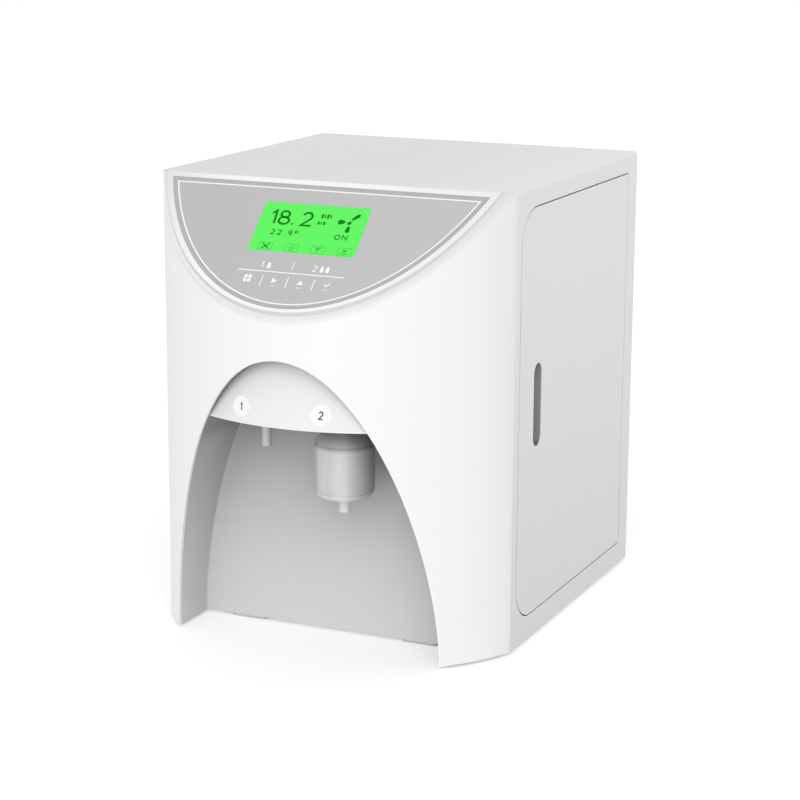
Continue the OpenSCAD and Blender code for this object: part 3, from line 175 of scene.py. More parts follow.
class Shader:
    """The node tree of a material or of the world, built from expressions."""

    def __init__(self, owner: bpy.types.Material | bpy.types.World) -> None:
        """Empties the tree of its owner.

        Args:
            owner: a new material or world.
        """
        owner.use_nodes = True
        self.owner = owner
        self.tree = owner.node_tree
        self.tree.nodes.clear()

    def add(
        self,
        kind: str,
        settings: dict | None = None,
        inputs: dict | None = None,
        output: int | str = 0,
    ) -> Sock:
        """Adds one node of any type, as new_node has it, and wraps one of its outputs."""
        return Sock(self, new_node(self.tree, kind, settings, inputs).outputs[output])

    def here(self, axis: int) -> Sock:
        """The surface point's place on one axis of the object, in metres."""
        place = self.add("ShaderNodeTexCoord", output="Object")
        return self.add("ShaderNodeSeparateXYZ", None, {0: place}, axis)

    def here_mm(self, axis: int) -> Sock:
        """The surface point's place on one axis of the object, in millimetres."""
        return self.here(axis) * PER_METRE

    def spot(self) -> tuple[Sock, Sock, Sock]:
        """The surface point's place on all three axes of the object, in millimetres."""
        return self.here_mm(0), self.here_mm(1), self.here_mm(2)

    def stretched(self, scale: Sequence[float]) -> Sock:
        """Object coordinates multiplied by a scale on each axis."""
        place = self.add("ShaderNodeTexCoord", output="Object")
        return self.add("ShaderNodeMapping", None, {"Vector": place, "Scale": tuple(scale)})

    def noise(self, per_metre: float | Sequence[float], detail: float = 2.0) -> Sock:
        """Smooth noise from 0 to 1 with that many cells in a metre.

        Args:
            per_metre: cells in a metre, one number or one for each axis.
            detail: how many finer layers it holds.

        Returns:
            The noise's value.
        """
        scale = per_metre if isinstance(per_metre, Sequence) else (per_metre,) * 3
        where = self.stretched(scale)
        return self.add(
            "ShaderNodeTexNoise", None, {"Vector": where, "Scale": 1.0, "Detail": detail}
        )

    def cells(self, per_metre: float) -> Sock:
        """Distance to the nearest of many scattered cell centres."""
        where = self.stretched((per_metre,) * 3)
        return self.add("ShaderNodeTexVoronoi", None, {"Vector": where, "Scale": 1.0})

    def grey_ramp(self, value: Sock, stops: Stops) -> Sock:
        """A value run through a ramp of grey levels."""
        return self.add("ShaderNodeValToRGB", {"stops": stops}, {0: value})

    def blend(self, factor: Value, first: Rgb | Sock, second: Rgb | Sock) -> Sock:
        """Mixes two colours.

        Args:
            factor: 0 for the first and 1 for the second.
            first: the first colour.
            second: the second colour.

        Returns:
            The mixed colour.
        """
        pair = [c if isinstance(c, Sock) else (*c, 1.0) for c in (first, second)]
        return self.add(
            "ShaderNodeMix", {"data_type": "RGBA"}, {0: factor, 6: pair[0], 7: pair[1]}, 2
        )

    def shade(self, share: Sock, color: Rgb | Sock) -> Sock:
        """A colour multiplied by a share from 0 to 1."""
        return self.blend(share, (0.0, 0.0, 0.0), color)

    def bump(self, height: Sock, depth: float) -> Sock:
        """The surface's normal, raised by a height from 0 to 1 times depth in metres."""
        inputs = {"Strength": 1.0, "Distance": depth, "Height": height}
        return self.add("ShaderNodeBump", None, inputs)

    def close(self, surface: Sock) -> bpy.types.Material | bpy.types.World:
        """Links the surface to the tree's output.

        Args:
            surface: the shader that the tree ends in.

        Returns:
            The owner, finished.
        """
        kind = type(self.owner).__name__
        new_node(self.tree, f"ShaderNodeOutput{kind}", None, {"Surface": surface})
        return self.owner


# Finishes -------------------------------------------------------------------------------


class Grain(Enum):
    """How a surface is broken up when it is seen from close by."""

    MOULDED = "fine spark-eroded texture of a plastic moulding"
    POWDER = "orange peel of a powder coat"
    BRUSHED = "fine lines along one direction"
    SPANGLE = "crystals of a zinc coat"
    RUBBER = "dull skin with a little dust"
    FILM = "nearly smooth printed film"
    GLOSS = "polished"


@dataclass(frozen=True)
class Ramp:
    """A share that changes smoothly between two places.

    Args:
        start: the share up to the first place.
        gain: what it gains, or loses below 0, from there to the second place.
        low: the first place.
        high: the second place.
    """

    start: float
    gain: float
    low: float
    high: float

    def at(self, place: Sock) -> Sock:
        """The share at a place."""
        return self.start + self.gain * place.rise(self.low, self.high)


CLOUDS = 9.0  # patches of wandering colour in a metre
SMEARS = 24.0  # patches of wandering polish in a metre
SMEAR = 0.08  # how far the polish wanders


@dataclass(frozen=True)
class Finish:
    """A plain surface finish, and the base of the special ones.

    Args:
        name: the material's name.
        color: linear base colour.
        roughness: mean roughness.
        grain: how it is broken up.
        size: size of the grain in millimetres.
        depth: depth of the grain in micrometres.
        drift: how far the colour wanders, as a share.
        metallic: 1 for bare metal.
        coat: weight of a clear coat.
        shine: specular level.

    The class keeps each material in made, by its name, once it is built.
    """

    name: str
    color: Rgb
    roughness: float = 0.4
    grain: Grain = Grain.MOULDED
    size: float = 0.9
    depth: float = 8.0
    drift: float = 0.02
    metallic: float = 0.0
    coat: float = 0.0
    shine: float = 0.5

    made: ClassVar[dict[str, bpy.types.Material]] = {}

    def material(self) -> bpy.types.Material:
        """The finish as a Blender material, built once and then shared.

        Returns:
            The material.
        """
        if self.name not in self.made:
            shader = Shader(bpy.data.materials.new(self.name))
            self.made[self.name] = shader.close(self.surface(shader))
        return self.made[self.name]

    def surface(self, shader: Shader) -> Sock:
        """Builds the main shader.

        Args:
            shader: the tree to build in.

        Returns:
            The surface's shader output.
        """
        inputs = {
            "Base Color": self.tone(shader),
            "Roughness": self.polish(shader),
            "Metallic": self.metallic,
            "Coat Weight": self.coat,
            "Specular IOR Level": self.shine,
            "Normal": shader.bump(self.relief(shader), self.depth * 1e-6),
        }
        inputs.update(self.extras(shader))
        return shader.add("ShaderNodeBsdfPrincipled", None, inputs)

    def tone(self, shader: Shader) -> Sock:
        """Base colour, wandering a little over a hand's breadth."""
        dark = tuple(c * (1.0 - 2.0 * self.drift) for c in self.color)
        return shader.blend(shader.noise(CLOUDS, 3.0), self.color, dark)

    def polish(self, shader: Shader) -> Sock:
        """Roughness, with faint smears."""
        return self.roughness - SMEAR / 2.0 + SMEAR * shader.noise(SMEARS, 4.0)

    def relief(self, shader: Shader) -> Sock:
        """Height of the grain, from 0 to 1.

        Args:
            shader: the tree to build in.

        Returns:
            The height.
        """
        fine = PER_METRE / self.size
        if self.grain is Grain.BRUSHED:
            return shader.noise((fine * 0.02, fine, fine), 3.0)
        if self.grain is Grain.POWDER:
            return shader.noise(fine * 0.6, 1.0)
        if self.grain is Grain.SPANGLE:
            return shader.cells(fine)
        if self.grain is Grain.RUBBER:
            return shader.noise(fine * 2.0, 4.0)
        return shader.noise(fine, 2.0)

    def extras(self, shader: Shader) -> dict:
        """Other inputs of the main shader that this finish sets."""
        return {}


@dataclass(frozen=True)
class SpangledZinc(Finish):
    """Zinc-coated sheet whose crystals differ in tone.

    Args:
        metallic, roughness, grain, size, depth: as for any finish, with zinc's own values.
        darkest: share of the colour left on the darkest crystal.
    """

    metallic: float = 1.0
    roughness: float = 0.42
    grain: Grain = Grain.SPANGLE
    size: float = 9.0
    depth: float = 3.0
    darkest: float = 0.82

    def tone(self, shader: Shader) -> Sock:
        """Each crystal is a little lighter or darker.

        Args:
            shader: the tree to build in.

        Returns:
            The colour.
        """
        where = shader.stretched((PER_METRE / self.size,) * 3)
        crystal = shader.add("ShaderNodeTexVoronoi", None, {"Vector": where, "Scale": 1.0}, 1)
        level = shader.add("ShaderNodeSeparateColor", None, {0: crystal})
        dark = tuple(c * self.darkest for c in self.color)
        return shader.blend(level, dark, self.color)


@dataclass(frozen=True)
class TwoPart(Finish):
    """A piece whose colour changes at a plane across one axis.

    Args:
        other: the colour beyond the plane.
        axis: 0, 1 or 2 for X, Y or Z.
        plane: where the change is, in millimetres.
    """

    other: Rgb = (0.1, 0.1, 0.1)
    axis: int = 2
    plane: float = 0.0

    def tone(self, shader: Shader) -> Sock:
        """The base colour on one side of the plane and the other colour past it."""
        past = shader.here(self.axis) > self.plane * MM
        return shader.blend(past, super().tone(shader), self.other)


@dataclass(frozen=True)
class Populated(TwoPart):
    """A circuit board: green lacquer with copper tracks, dark parts standing on it.

    Args:
        tracks: how many tracks cross a metre of it.
        patches: patches with and without tracks in a metre.
        bare: level of the noise up to which a patch has no track.
        gap: level of the wave up to which there is no track.
        glint: how much lighter than the lacquer a track is.
        show: how much of that shows through.
    """

    tracks: float = 260.0
    patches: float = 60.0
    bare: float = 0.52
    gap: float = 0.35
    glint: float = 1.7
    show: float = 0.7

    def tone(self, shader: Shader) -> Sock:
        """Tracks show as paler lanes under the lacquer.

        Args:
            shader: the tree to build in.

        Returns:
            The colour.
        """
        lanes = (shader.here(2) * (2.0 * math.pi * self.tracks)).wave()
        patch = shader.noise(self.patches, 1.0) > self.bare
        track = (lanes > self.gap) * patch
        light = tuple(min(1.0, c * self.glint) for c in self.color)
        lacquer = shader.blend(track * self.show, self.color, light)
        past = shader.here(self.axis) > self.plane * MM
        return shader.blend(past, lacquer, self.other)


@dataclass(frozen=True)
class UprightTube(Finish):
    """A standing round piece with soft upright lights, seen from the front right.

    Args:
        middle: where the axis stands, in millimetres.
        radius: its radius.
        stops: share of the colour from its left edge to its right.
        seen_from: how far to the right the viewer stands, in degrees.
    """

    middle: Point2 = (0.0, 0.0)
    radius: float = 6.0
    stops: Stops = ((0.0, 0.66), (0.28, 0.88), (0.46, 1.0), (0.66, 0.86), (1.0, 0.62))
    seen_from: float = 24.3

    def tone(self, shader: Shader) -> Sock:
        """Lighter lanes where the piece catches the light.

        Args:
            shader: the tree to build in.

        Returns:
            The colour.
        """
        x, y, _ = shader.spot()
        turn = math.radians(self.seen_from)
        across = (x - self.middle[0]) * math.cos(turn) + (y - self.middle[1]) * math.sin(turn)
        lanes = shader.grey_ramp(across / (2.0 * self.radius) + 0.5, self.stops)
        return shader.shade(lanes, super().tone(shader))


@dataclass(frozen=True)
class MilkyShell(UprightTube):
    """Milky see-through plastic with painted shade on its shoulder.

    Args:
        radius, stops, shine: as for any tube, with the capsule's own values.
        low: height of the lower weld, in millimetres.
        high: height of the upper weld.
        clear: opacity between the welds.
        dense: opacity beyond them.
        shoulder: how far the painted shade on the shoulder reaches below and above the upper weld.
        shadow: share of the colour that it loses there.
        streak: how far the opacity wanders.
        streaks: how many streaks there are in a metre along each axis.
    """

    radius: float = 31.0
    stops: Stops = (
        (0.0, 0.70), (0.08, 0.98), (0.26, 0.88), (0.40, 1.0), (0.52, 0.97), (0.68, 0.72),
        (0.86, 0.62), (1.0, 0.52),
    )
    shine: float = 0.25
    low: float = 0.0
    high: float = 0.0
    clear: float = 0.5
    dense: float = 0.9
    shoulder: Point2 = (6.0, 11.5)
    shadow: float = 0.50
    streak: float = 0.10
    streaks: Point3 = (90.0, 90.0, 6.0)

    def tone(self, shader: Shader) -> Sock:
        """Painted shade from the upper weld to the top of the housing.

        Args:
            shader: the tree to build in.

        Returns:
            The colour.
        """
        z = shader.here_mm(2)
        below, above = self.shoulder
        # painted shade under the hood on the capsule's shoulder
        dark = z.rise(self.high - below, self.high) * (z < self.high + above)
        return shader.shade(1.0 - self.shadow * dark, super().tone(shader))

    def extras(self, shader: Shader) -> dict:
        """Opacity by height.

        Args:
            shader: the tree to build in.

        Returns:
            The inputs, by name.
        """
        height = shader.here(2)
        middle = (height > self.low * MM) * (height < self.high * MM)
        streak = shader.noise(self.streaks, 2.0) * self.streak
        alpha = self.dense - middle * (self.dense - self.clear) + streak
        return {"Alpha": alpha.least(1.0)}


@dataclass(frozen=True)
class Enamel(Finish):
    """Grey of the cabinet, with painted shading: paler towards the top of its sides and darker on
    the roof.

    Args:
        roof_z: height from which the roof's tone holds, in millimetres.
        side: share of the colour left by the painted shading on the sides, by height.
        roof: share of the colour left by the painted shading on the roof, by the place across.
    """

    roof_z: float = 480.3
    side: Ramp = Ramp(0.875, 0.125, -40.0, 470.0)
    roof: Ramp = Ramp(0.888, 0.085, -20.0, 240.0)

    def grey(self, shader: Shader) -> Sock:
        """The cabinet's grey with its painted shading at any point.

        Args:
            shader: the tree to build in.

        Returns:
            The colour.
        """
        x, _, z = shader.spot()
        # painted shading: sides paler upwards, roof lighter or darker by the place across
        side = self.side.at(z)
        share = side + (z > self.roof_z) * (self.roof.at(x) - side)
        return shader.shade(share, Finish.tone(self, shader))

    def tone(self, shader: Shader) -> Sock:
        """The cabinet's grey with its painted shading everywhere."""
        return self.grey(shader)


@dataclass(frozen=True)
class PulledEnamel(Enamel):
    """The door's enamel, with painted shade inside its finger pull.

    Args:
        face_x: where the door's face lies, in millimetres.
        pull: place of the pull along Y and Z.
        half: half width of the pull and half length of its straight part.
        inner_x: place behind which nothing of the pull lies.
        past: how far past its rim the shade reaches, and where it is deepest.
        rim: share of the half width from which the rim's shade grows.
        end: how far past the straight part the ends' shade starts.
        shades: share of the tone lost to painted shade all over the pull, more at its rim and at
            its ends.
    """

    face_x: float = 199.4
    pull: Point2 = (-59.3, 252.0)
    half: Point2 = (11.0, 33.0)
    inner_x: float = 150.0
    past: Point2 = (0.4, 0.2)
    rim: float = 0.55
    end: float = 3.0
    shades: Point3 = (0.36, 0.26, 0.16)

    def tone(self, shader: Shader) -> Sock:
        """Painted shade, darkest along the rim of the pull and at its two ends.

        Args:
            shader: the tree to build in.

        Returns:
            The colour.
        """
        x, y, z = shader.spot()
        rise = (abs(z - self.pull[1]) - self.half[1]).most(0.0)
        reach = ((y - self.pull[0]) ** 2.0 + rise ** 2.0).root()
        wide = self.half[0]
        inside = (x < self.face_x) * (reach < wide + self.past[0]) * (x > self.inner_x)
        rim = reach.rise(wide * self.rim, wide + self.past[1])
        end = rise.rise(self.end, wide)
        plain, at_rim, at_end = self.shades
        # painted shade in the finger pull's recess
        share = 1.0 - inside * (plain + at_rim * rim + at_end * end)
        return shader.shade(share, self.grey(shader))


def metres(u: float, v: float, h: float) -> Point3:
    """A point in metres, from its three places in millimetres."""
    return (u * MM, v * MM, h * MM)


@dataclass(frozen=True)
class PanelFrame:
    """The sloping control panel's own frame, as the drawing has it.

    Args:
        tilt: angle of the panel from the vertical, in degrees.
        top_y: where its top edge lies, towards the back, in millimetres.
        top_z: height of its top edge.
        axis_s: distance from that edge up the slope to the bow's axis.
    """

    tilt: float = 45.5
    top_y: float = -138.6
    top_z: float = 481.0
    axis_s: float = 140.345

    def at(self, x: float, s: float, h: float) -> Point3:
        """A point in metres.

        Args:
            x: millimetres to the right.
            s: millimetres down the slope from the top edge.
            h: millimetres out of the panel.

        Returns:
            The point in the object's frame.
        """
        a = math.radians(90.0 - self.tilt)
        y = self.top_y - s * math.cos(a) - h * math.sin(a)
        z = self.top_z - s * math.sin(a) + h * math.cos(a)
        return metres(x, y, z)

    def slope(self, shader: Shader) -> Sock:
        """Distance down the slope of the point being shaded, in millimetres.

        Args:
            shader: the tree to build in.

        Returns:
            The distance.
        """
        a = math.radians(90.0 - self.tilt)
        y = shader.here(1) * (-PER_METRE * math.cos(a)) + self.top_y * math.cos(a)
        z = shader.here(2) * (-PER_METRE * math.sin(a)) + self.top_z * math.sin(a)
        return y + z


PANEL = PanelFrame()


@dataclass(frozen=True)
class KeypadFilm(Finish):
    """Printed membrane film with a darker border outside its printed outline, partly print and
    partly painted shade beside the lip.

    Args:
        border: colour of the border, print darkened by painted shade.
        across: half width of the outline's ellipse.
        along: half length of the outline's ellipse down the slope.
        top: distance from the panel's top edge to the outline.
        light: share of the colour by the place across, a painted shading that is lighter towards
            the right.
    """

    border: Rgb = (0.43, 0.43, 0.435)
    across: float = 198.64
    along: float = 294.37
    top: float = 12.9
    light: Ramp = Ramp(0.93, 0.07, -150.0, 190.0)

    def tone(self, shader: Shader) -> Sock:
        """Light grey field with painted shading across it inside the outline, and a mid grey border
        outside it, partly print and partly painted shade.

        Args:
            shader: the tree to build in.

        Returns:
            The colour.
        """
        s = PANEL.slope(shader)
        x = shader.here_mm(0)
        reach = (x / self.across) ** 2.0 + ((s + PANEL.axis_s) / self.along) ** 2.0
        # the border is part print and part painted shade beside the lip
        outside = (reach > 1.0).most(s < self.top)
        # painted shading across the field, lighter towards the right
        field = shader.shade(self.light.at(x), super().tone(shader))
        return shader.blend(outside, field, self.border)


@dataclass(frozen=True)
class Arch:
    """Outline of the dispensing bay's opening, as the drawing has it.

    Args:
        half: half width at the bench, in millimetres.
        rise: height of the opening.
        foot: height at which it starts.
        powers: exponents of the width and of the height.
    """

    half: float = 150.9
    rise: float = 314.0
    foot: float = 3.0
    powers: Point2 = (2.066, 1.713)

    def reach(self, shader: Shader) -> Sock:
        """0 in the middle of the foot, 1 on the outline and more outside it.

        Args:
            shader: the tree to build in.

        Returns:
            The share.
        """
        x, _, z = shader.spot()
        height = ((z - self.foot) / self.rise).most(0.0)
        return abs(x / self.half) ** self.powers[0] + height ** self.powers[1]


ARCH = Arch()


@dataclass(frozen=True)
class Fascia(Enamel):
    """The moulded front: white on the bow with painted shade and a painted highlight, and the
    cabinet's grey on its roof and sides.

    Args:
        white: colour of the bow.
        lip_across: half width of the raised lip's outer ellipse.
        lip_along: half length of that ellipse down the slope.
        side_x: half width from which the side's grey holds.
        bow_width: width over which the bow's shading runs.
        bow: share of the white left by the painted shading, from its left edge to its right.
        soft: half width of the blur where the lip ends.
        lip: share lost to painted shade on the lip, by the place across.
        edge, skirt: share lost to painted shade near the lip and in the moat, and where each loss
            fades out.
        inner, outer: reach of the arch between which the painted highlight on its rim comes and
            goes.
        rim: share of the white in that painted highlight.
    """

    white: Rgb = (0.94, 0.945, 0.95)
    lip_across: float = 212.5
    lip_along: float = 303.8
    side_x: float = 199.3
    bow_width: float = 400.0
    bow: Stops = (
        (0.0, 0.78), (0.015, 0.83), (0.03, 0.95), (0.12, 1.0), (0.62, 1.0), (0.80, 0.955),
        (0.93, 0.93), (1.0, 0.87),
    )
    soft: float = 0.4
    lip: Ramp = Ramp(0.20, -0.13, -200.0, -90.0)
    edge: Point3 = (0.12, 1.2, 2.4)
    skirt: Point3 = (0.16, 4.0, 11.0)
    inner: Point2 = (0.99, 1.0)
    outer: Point2 = (1.015, 1.03)
    rim: float = 0.99

    def moat(self, shader: Shader) -> Sock:
        """Share of the tone left by the painted shade on the raised lip and in the moat round it.

        Args:
            shader: the tree to build in.

        Returns:
            The share.
        """
        x = shader.here_mm(0)
        s = PANEL.slope(shader) + PANEL.axis_s
        reach = ((x / self.lip_across) ** 2.0 + (s / self.lip_along) ** 2.0).root()
        out = (reach - 1.0) * self.lip_along
        past = out.rise(-self.soft, self.soft)
        share = 1.0
        for lost, start, end in (self.edge, self.skirt):
            share = share - lost * (past * (1.0 - out.rise(start, end)))
        return share - (1.0 - past) * self.lip.at(x)

    def tone(self, shader: Shader) -> Sock:
        """White with painted shade towards the left edge and a little towards the right, and a
        painted highlight on the arch's rim.

        Args:
            shader: the tree to build in.

        Returns:
            The colour.
        """
        x, _, z = shader.spot()
        # painted shade across the bow and round the lip
        bow = shader.grey_ramp(x / self.bow_width + 0.5, self.bow)
        rim = ARCH.reach(shader)
        # painted highlight along the rim of the arch's opening
        rim_highlight = rim.rise(*self.inner) * (1.0 - rim.rise(*self.outer))
        share = (bow * self.moat(shader)).most(rim_highlight * self.rim)
        front = shader.shade(share, self.white)
        other = (z > self.roof_z).most(abs(x) > self.side_x)
        return shader.blend(other, front, self.grey(shader))


@dataclass(frozen=True)
class HoodShell(Finish):
    """The hood, in the arch's shade along the opening's edge.

    Args:
        plain: share of the colour out of that shade.
        near, edge: share lost near the edge and right at it, and the reach between which it grows.
        left: how much of the loss holds, by the place across.
        lip: share of the colour at least, by height, a painted highlight that keeps the lower lip
            bright.
    """

    plain: float = 0.97
    near: Point3 = (0.15, 0.72, 0.99)
    edge: Point3 = (0.22, 0.94, 0.995)
    left: Ramp = Ramp(1.0, -0.6, -110.0, 60.0)
    lip: Ramp = Ramp(1.0, -1.0, 249.0, 251.5)

    def tone(self, shader: Shader) -> Sock:
        """Darker where the arch stands over it, most on the left and at the top.

        Args:
            shader: the tree to build in.

        Returns:
            The colour.
        """
        x, _, z = shader.spot()
        reach = ARCH.reach(shader)
        near, edge = (lost * reach.rise(*ends) for lost, *ends in (self.near, self.edge))
        share = 1.0 - (near + edge) * self.left.at(x)
        return shader.shade((share * self.plain).most(self.lip.at(z)), super().tone(shader))


@dataclass(frozen=True)
class BayLining(Finish):
    """The bay's walls, with painted shade from the hood towards the top, towards the back, and from
    the capsule on the right wall.

    Args:
        wall_y: place of the back wall's face, in millimetres.
        mouth_y: place of the bay's mouth, where its walls start to darken.
        top: height of the hood's lower edge.
        climb: share of the colour left by the painted shade from the foot to that edge.
        side: share of it on the side walls, a painted shade.
        deep: share that they lose to painted shade towards the back.
        right: share that the right one loses to the capsule's painted shadow towards the top.
        right_x, right_z: places across and heights between which that loss grows.
        crack: how far in front of the back wall it still counts as wall.
        seam: how far before it the painted highlight along the back wall's left corner starts.
    """

    wall_y: float = -133.0
    mouth_y: float = -205.0
    top: float = 248.0
    climb: Stops = (
        (0.0, 1.0), (0.34, 0.92), (0.55, 0.84), (0.74, 0.75), (0.84, 0.68), (0.88, 0.58),
        (0.91, 0.44), (1.0, 0.42),
    )
    side: float = 0.96
    deep: float = 0.16
    right: float = 0.45
    right_x: Point2 = (40.0, 60.0)
    right_z: Point2 = (110.0, 190.0)
    crack: float = 0.2
    seam: float = 3.2

    def tone(self, shader: Shader) -> Sock:
        """Painted shade, darker upwards and, on the side walls, towards the back, with the
        capsule's painted shadow on the right wall and a painted highlight along the back wall's
        left corner.

        Args:
            shader: the tree to build in.

        Returns:
            The colour.
        """
        x, y, z = shader.spot()
        # painted shade: darker upwards, towards the back, and in the capsule's shadow on the right
        # wall
        height = shader.grey_ramp(z / self.top, self.climb)
        depth = y.rise(self.mouth_y, self.wall_y)
        right = x.rise(*self.right_x)
        side = self.side - self.deep * depth - self.right * right * z.rise(*self.right_z)
        face = self.wall_y - self.crack
        wall = y > face
        # painted highlight along the back wall's left corner, kept out of the painted shade
        seam = (y > self.wall_y - self.seam) * (y < face) * (x < 0.0)
        share = (height * (side + wall * (1.0 - side))).most(seam)
        return shader.shade(share, super().tone(shader))


@dataclass(frozen=True)
class LitScreen(Finish):
    """Backlit character display with a faint grid between its dots.

    Args:
        glow: colour that it gives off.
        pitch: spacing of the dots in millimetres.
        gap: level of the wave above which the space between two dots shows.
        grid: how much weaker a grid line is.
        shine: as for any finish, with the screen's own value.
        cloud: how much weaker the dimmest patch is.
        clouds: patches in a metre.
        dim: share of the glow that stays at its weakest.
    """

    glow: Rgb = (0.078, 0.715, 0.078)
    pitch: float = 0.49
    gap: float = 0.86
    grid: float = 0.10
    shine: float = 0.15
    cloud: float = 0.12
    clouds: float = 14.0
    dim: float = 0.7

    def extras(self, shader: Shader) -> dict:
        """Emission, a little weaker on the grid's lines.

        Args:
            shader: the tree to build in.

        Returns:
            The inputs, by name.
        """
        turns = 2.0 * math.pi / self.pitch
        across = (shader.here(0) * (PER_METRE * turns)).wave() > self.gap
        along = (PANEL.slope(shader) * turns).wave() > self.gap
        line = across.most(along) * self.grid
        dim = tuple(c * self.dim for c in self.glow)
        glow = shader.blend(line + shader.noise(self.clouds, 1.0) * self.cloud, self.glow, dim)
        return {"Emission Color": glow, "Emission Strength": 1.0}


@dataclass(frozen=True)
class FuseBody(Finish):
    """Metal caps with a glass tube between them.

    Args:
        middle: place of the fuse along X in millimetres.
        half: half length of the glass.
        glass: colour of the glass.
    """

    middle: float = -154.0
    half: float = 5.1
    glass: Rgb = (0.35, 0.40, 0.40)

    def tone(self, shader: Shader) -> Sock:
        """Steel at the ends and grey glass between."""
        inside = abs(shader.here(0) - self.middle * MM) < self.half * MM
        return shader.blend(inside, self.color, self.glass)


# The palette of this object. Each row has the material's name, its colour, roughness and
# grain, the grain's size and depth, and how far the colour wanders.
CABINET_GREY: Rgb = (0.795, 0.80, 0.805)
WHITE_MOULDING = Fascia("white_moulding", CABINET_GREY, 0.38, Grain.MOULDED, 1.1, 6.0, 0.004)
HOOD_MOULDING = HoodShell(
    "hood_moulding", (0.88, 0.885, 0.89), 0.42, Grain.MOULDED, 1.1, 6.0, 0.006
)
GREY_ENAMEL = Enamel("grey_enamel", CABINET_GREY, 0.40, Grain.POWDER, 1.6, 9.0, 0.004)
DOOR_ENAMEL = PulledEnamel("door_enamel", CABINET_GREY, 0.40, Grain.POWDER, 1.6, 9.0, 0.004)
BAY_LINING = BayLining("bay_lining", (0.70, 0.705, 0.71), 0.40, Grain.MOULDED, 1.2, 6.0, 0.008)
KEYPAD_FILM = KeypadFilm("keypad_film", (0.515, 0.515, 0.52), 0.50, Grain.FILM, 0.7, 3.0, 0.006)
LIT_SCREEN = LitScreen("lit_screen", (0.04, 0.22, 0.04), 0.22, Grain.GLOSS, 2.0, 0.5, 0.0)
SCREEN_INK = Finish(
    "screen_ink", (0.010, 0.20, 0.012), 0.5, Grain.FILM, 0.8, 1.0, 0.05, shine=0.08
)
FAINT_INK = Finish(
    "faint_screen_ink", (0.06, 0.56, 0.07), 0.5, Grain.FILM, 0.8, 1.0, 0.05, shine=0.08
)
WHITE_INK = Finish("white_ink", (0.93, 0.93, 0.93), 0.5, Grain.FILM, 0.8, 1.0, 0.01)
BLACK_INK = Finish("black_ink", (0.03, 0.03, 0.035), 0.5, Grain.FILM, 0.8, 1.0, 0.05)
LABEL_FILM = Finish("label_film", (0.95, 0.95, 0.95), 0.30, Grain.FILM, 1.0, 1.0, 0.004)
NOZZLE_PLASTIC = Finish("nozzle_plastic", (0.78, 0.79, 0.80), 0.34, Grain.MOULDED, 0.7, 4.0, 0.02)
DISPENSE_NOZZLE = UprightTube(
    "dispense_nozzle", (0.72, 0.72, 0.725), 0.34, Grain.MOULDED, 0.7, 4.0, 0.02,
    middle=(-50.0, -184.0),
)
CAPSULE_MILK = MilkyShell(
    "capsule_milk", (0.93, 0.93, 0.93), 0.34, Grain.GLOSS, 3.0, 3.0, 0.01,
    middle=(39.5, -184.0), low=173.0, high=224.0, clear=0.55, dense=0.85,
)
PLEATED_CLOTH = Finish("pleated_membrane", (0.86, 0.86, 0.84), 0.8, Grain.RUBBER, 0.5, 20.0, 0.04)
ZINC = SpangledZinc("zinc_sheet", (0.60, 0.62, 0.64))
STEEL = Finish("brushed_steel", (0.60, 0.61, 0.63), 0.30, Grain.BRUSHED, 0.3, 2.0, 0.03, 1.0)
POLISHED = Finish("polished_steel", (0.72, 0.73, 0.75), 0.14, Grain.GLOSS, 2.0, 0.5, 0.02, 1.0)
RUBBER = Finish("black_rubber", (0.028, 0.028, 0.030), 0.82, Grain.RUBBER, 0.8, 18.0, 0.10)
FOOT_RUBBER = Finish("grey_rubber", (0.60, 0.60, 0.605), 0.80, Grain.RUBBER, 0.8, 14.0, 0.05)
DARK_PLASTIC = Finish("dark_plastic", (0.022, 0.022, 0.025), 0.45, Grain.MOULDED, 0.6, 10.0, 0.08)
HEAD_PLASTIC = Finish("head_plastic", (0.045, 0.055, 0.08), 0.50, Grain.MOULDED, 0.8, 14.0, 0.06)
VALVE_PLASTIC = TwoPart(
    "valve_plastic", (0.05, 0.05, 0.055), 0.45, Grain.MOULDED, 0.8, 8.0, 0.04,
    other=(0.72, 0.72, 0.68), axis=0, plane=69.0,
)
TUBING = Finish("tubing", (0.72, 0.77, 0.82), 0.28, Grain.GLOSS, 4.0, 4.0, 0.03)
SENSOR = Finish("sensor_grey", (0.14, 0.15, 0.17), 0.42, Grain.MOULDED, 0.8, 8.0, 0.05)
PUMP = TwoPart(
    "pump_paint", (0.03, 0.03, 0.035), 0.42, Grain.POWDER, 1.2, 12.0, 0.06,
    other=(0.10, 0.105, 0.115), axis=1, plane=-25.0,
)
LACQUERED_BOARD = Populated(
    "main_board", (0.012, 0.11, 0.05), 0.32, Grain.GLOSS, 1.0, 6.0, 0.05,
    other=(0.03, 0.05, 0.09), axis=0, plane=-136.8,
)
DISPLAY_BOARD = Finish("display_board", (0.012, 0.11, 0.05), 0.32, Grain.GLOSS, 1.0, 6.0, 0.05)
SUPPLY_CASE = Finish("supply_case", (0.55, 0.56, 0.58), 0.40, Grain.BRUSHED, 0.4, 3.0, 0.03, 1.0)
CAP_RIBS = Finish("cap_ribs", (0.78, 0.79, 0.80), 0.42, Grain.MOULDED, 1.0, 8.0, 0.02)
FUSE = FuseBody("glass_fuse", (0.70, 0.71, 0.73), 0.18, Grain.GLOSS, 2.0, 0.5, 0.02, 0.6)
CARTRIDGE_CAP_Z = 315.7  # where a cartridge's upper cap starts, in millimetres


def cartridge_finish(name: str, cap: Rgb) -> TwoPart:
    """White housing whose upper cap has a colour of its own.

    Args:
        name: the material's name.
        cap: colour of the cap.

    Returns:
        The finish.
    """
    return TwoPart(
        name, (0.80, 0.81, 0.82), 0.40, Grain.MOULDED, 1.0, 8.0, 0.02,
        other=cap, axis=2, plane=CARTRIDGE_CAP_Z,
    )


# Meshes ---------------------------------------------------------------------------------


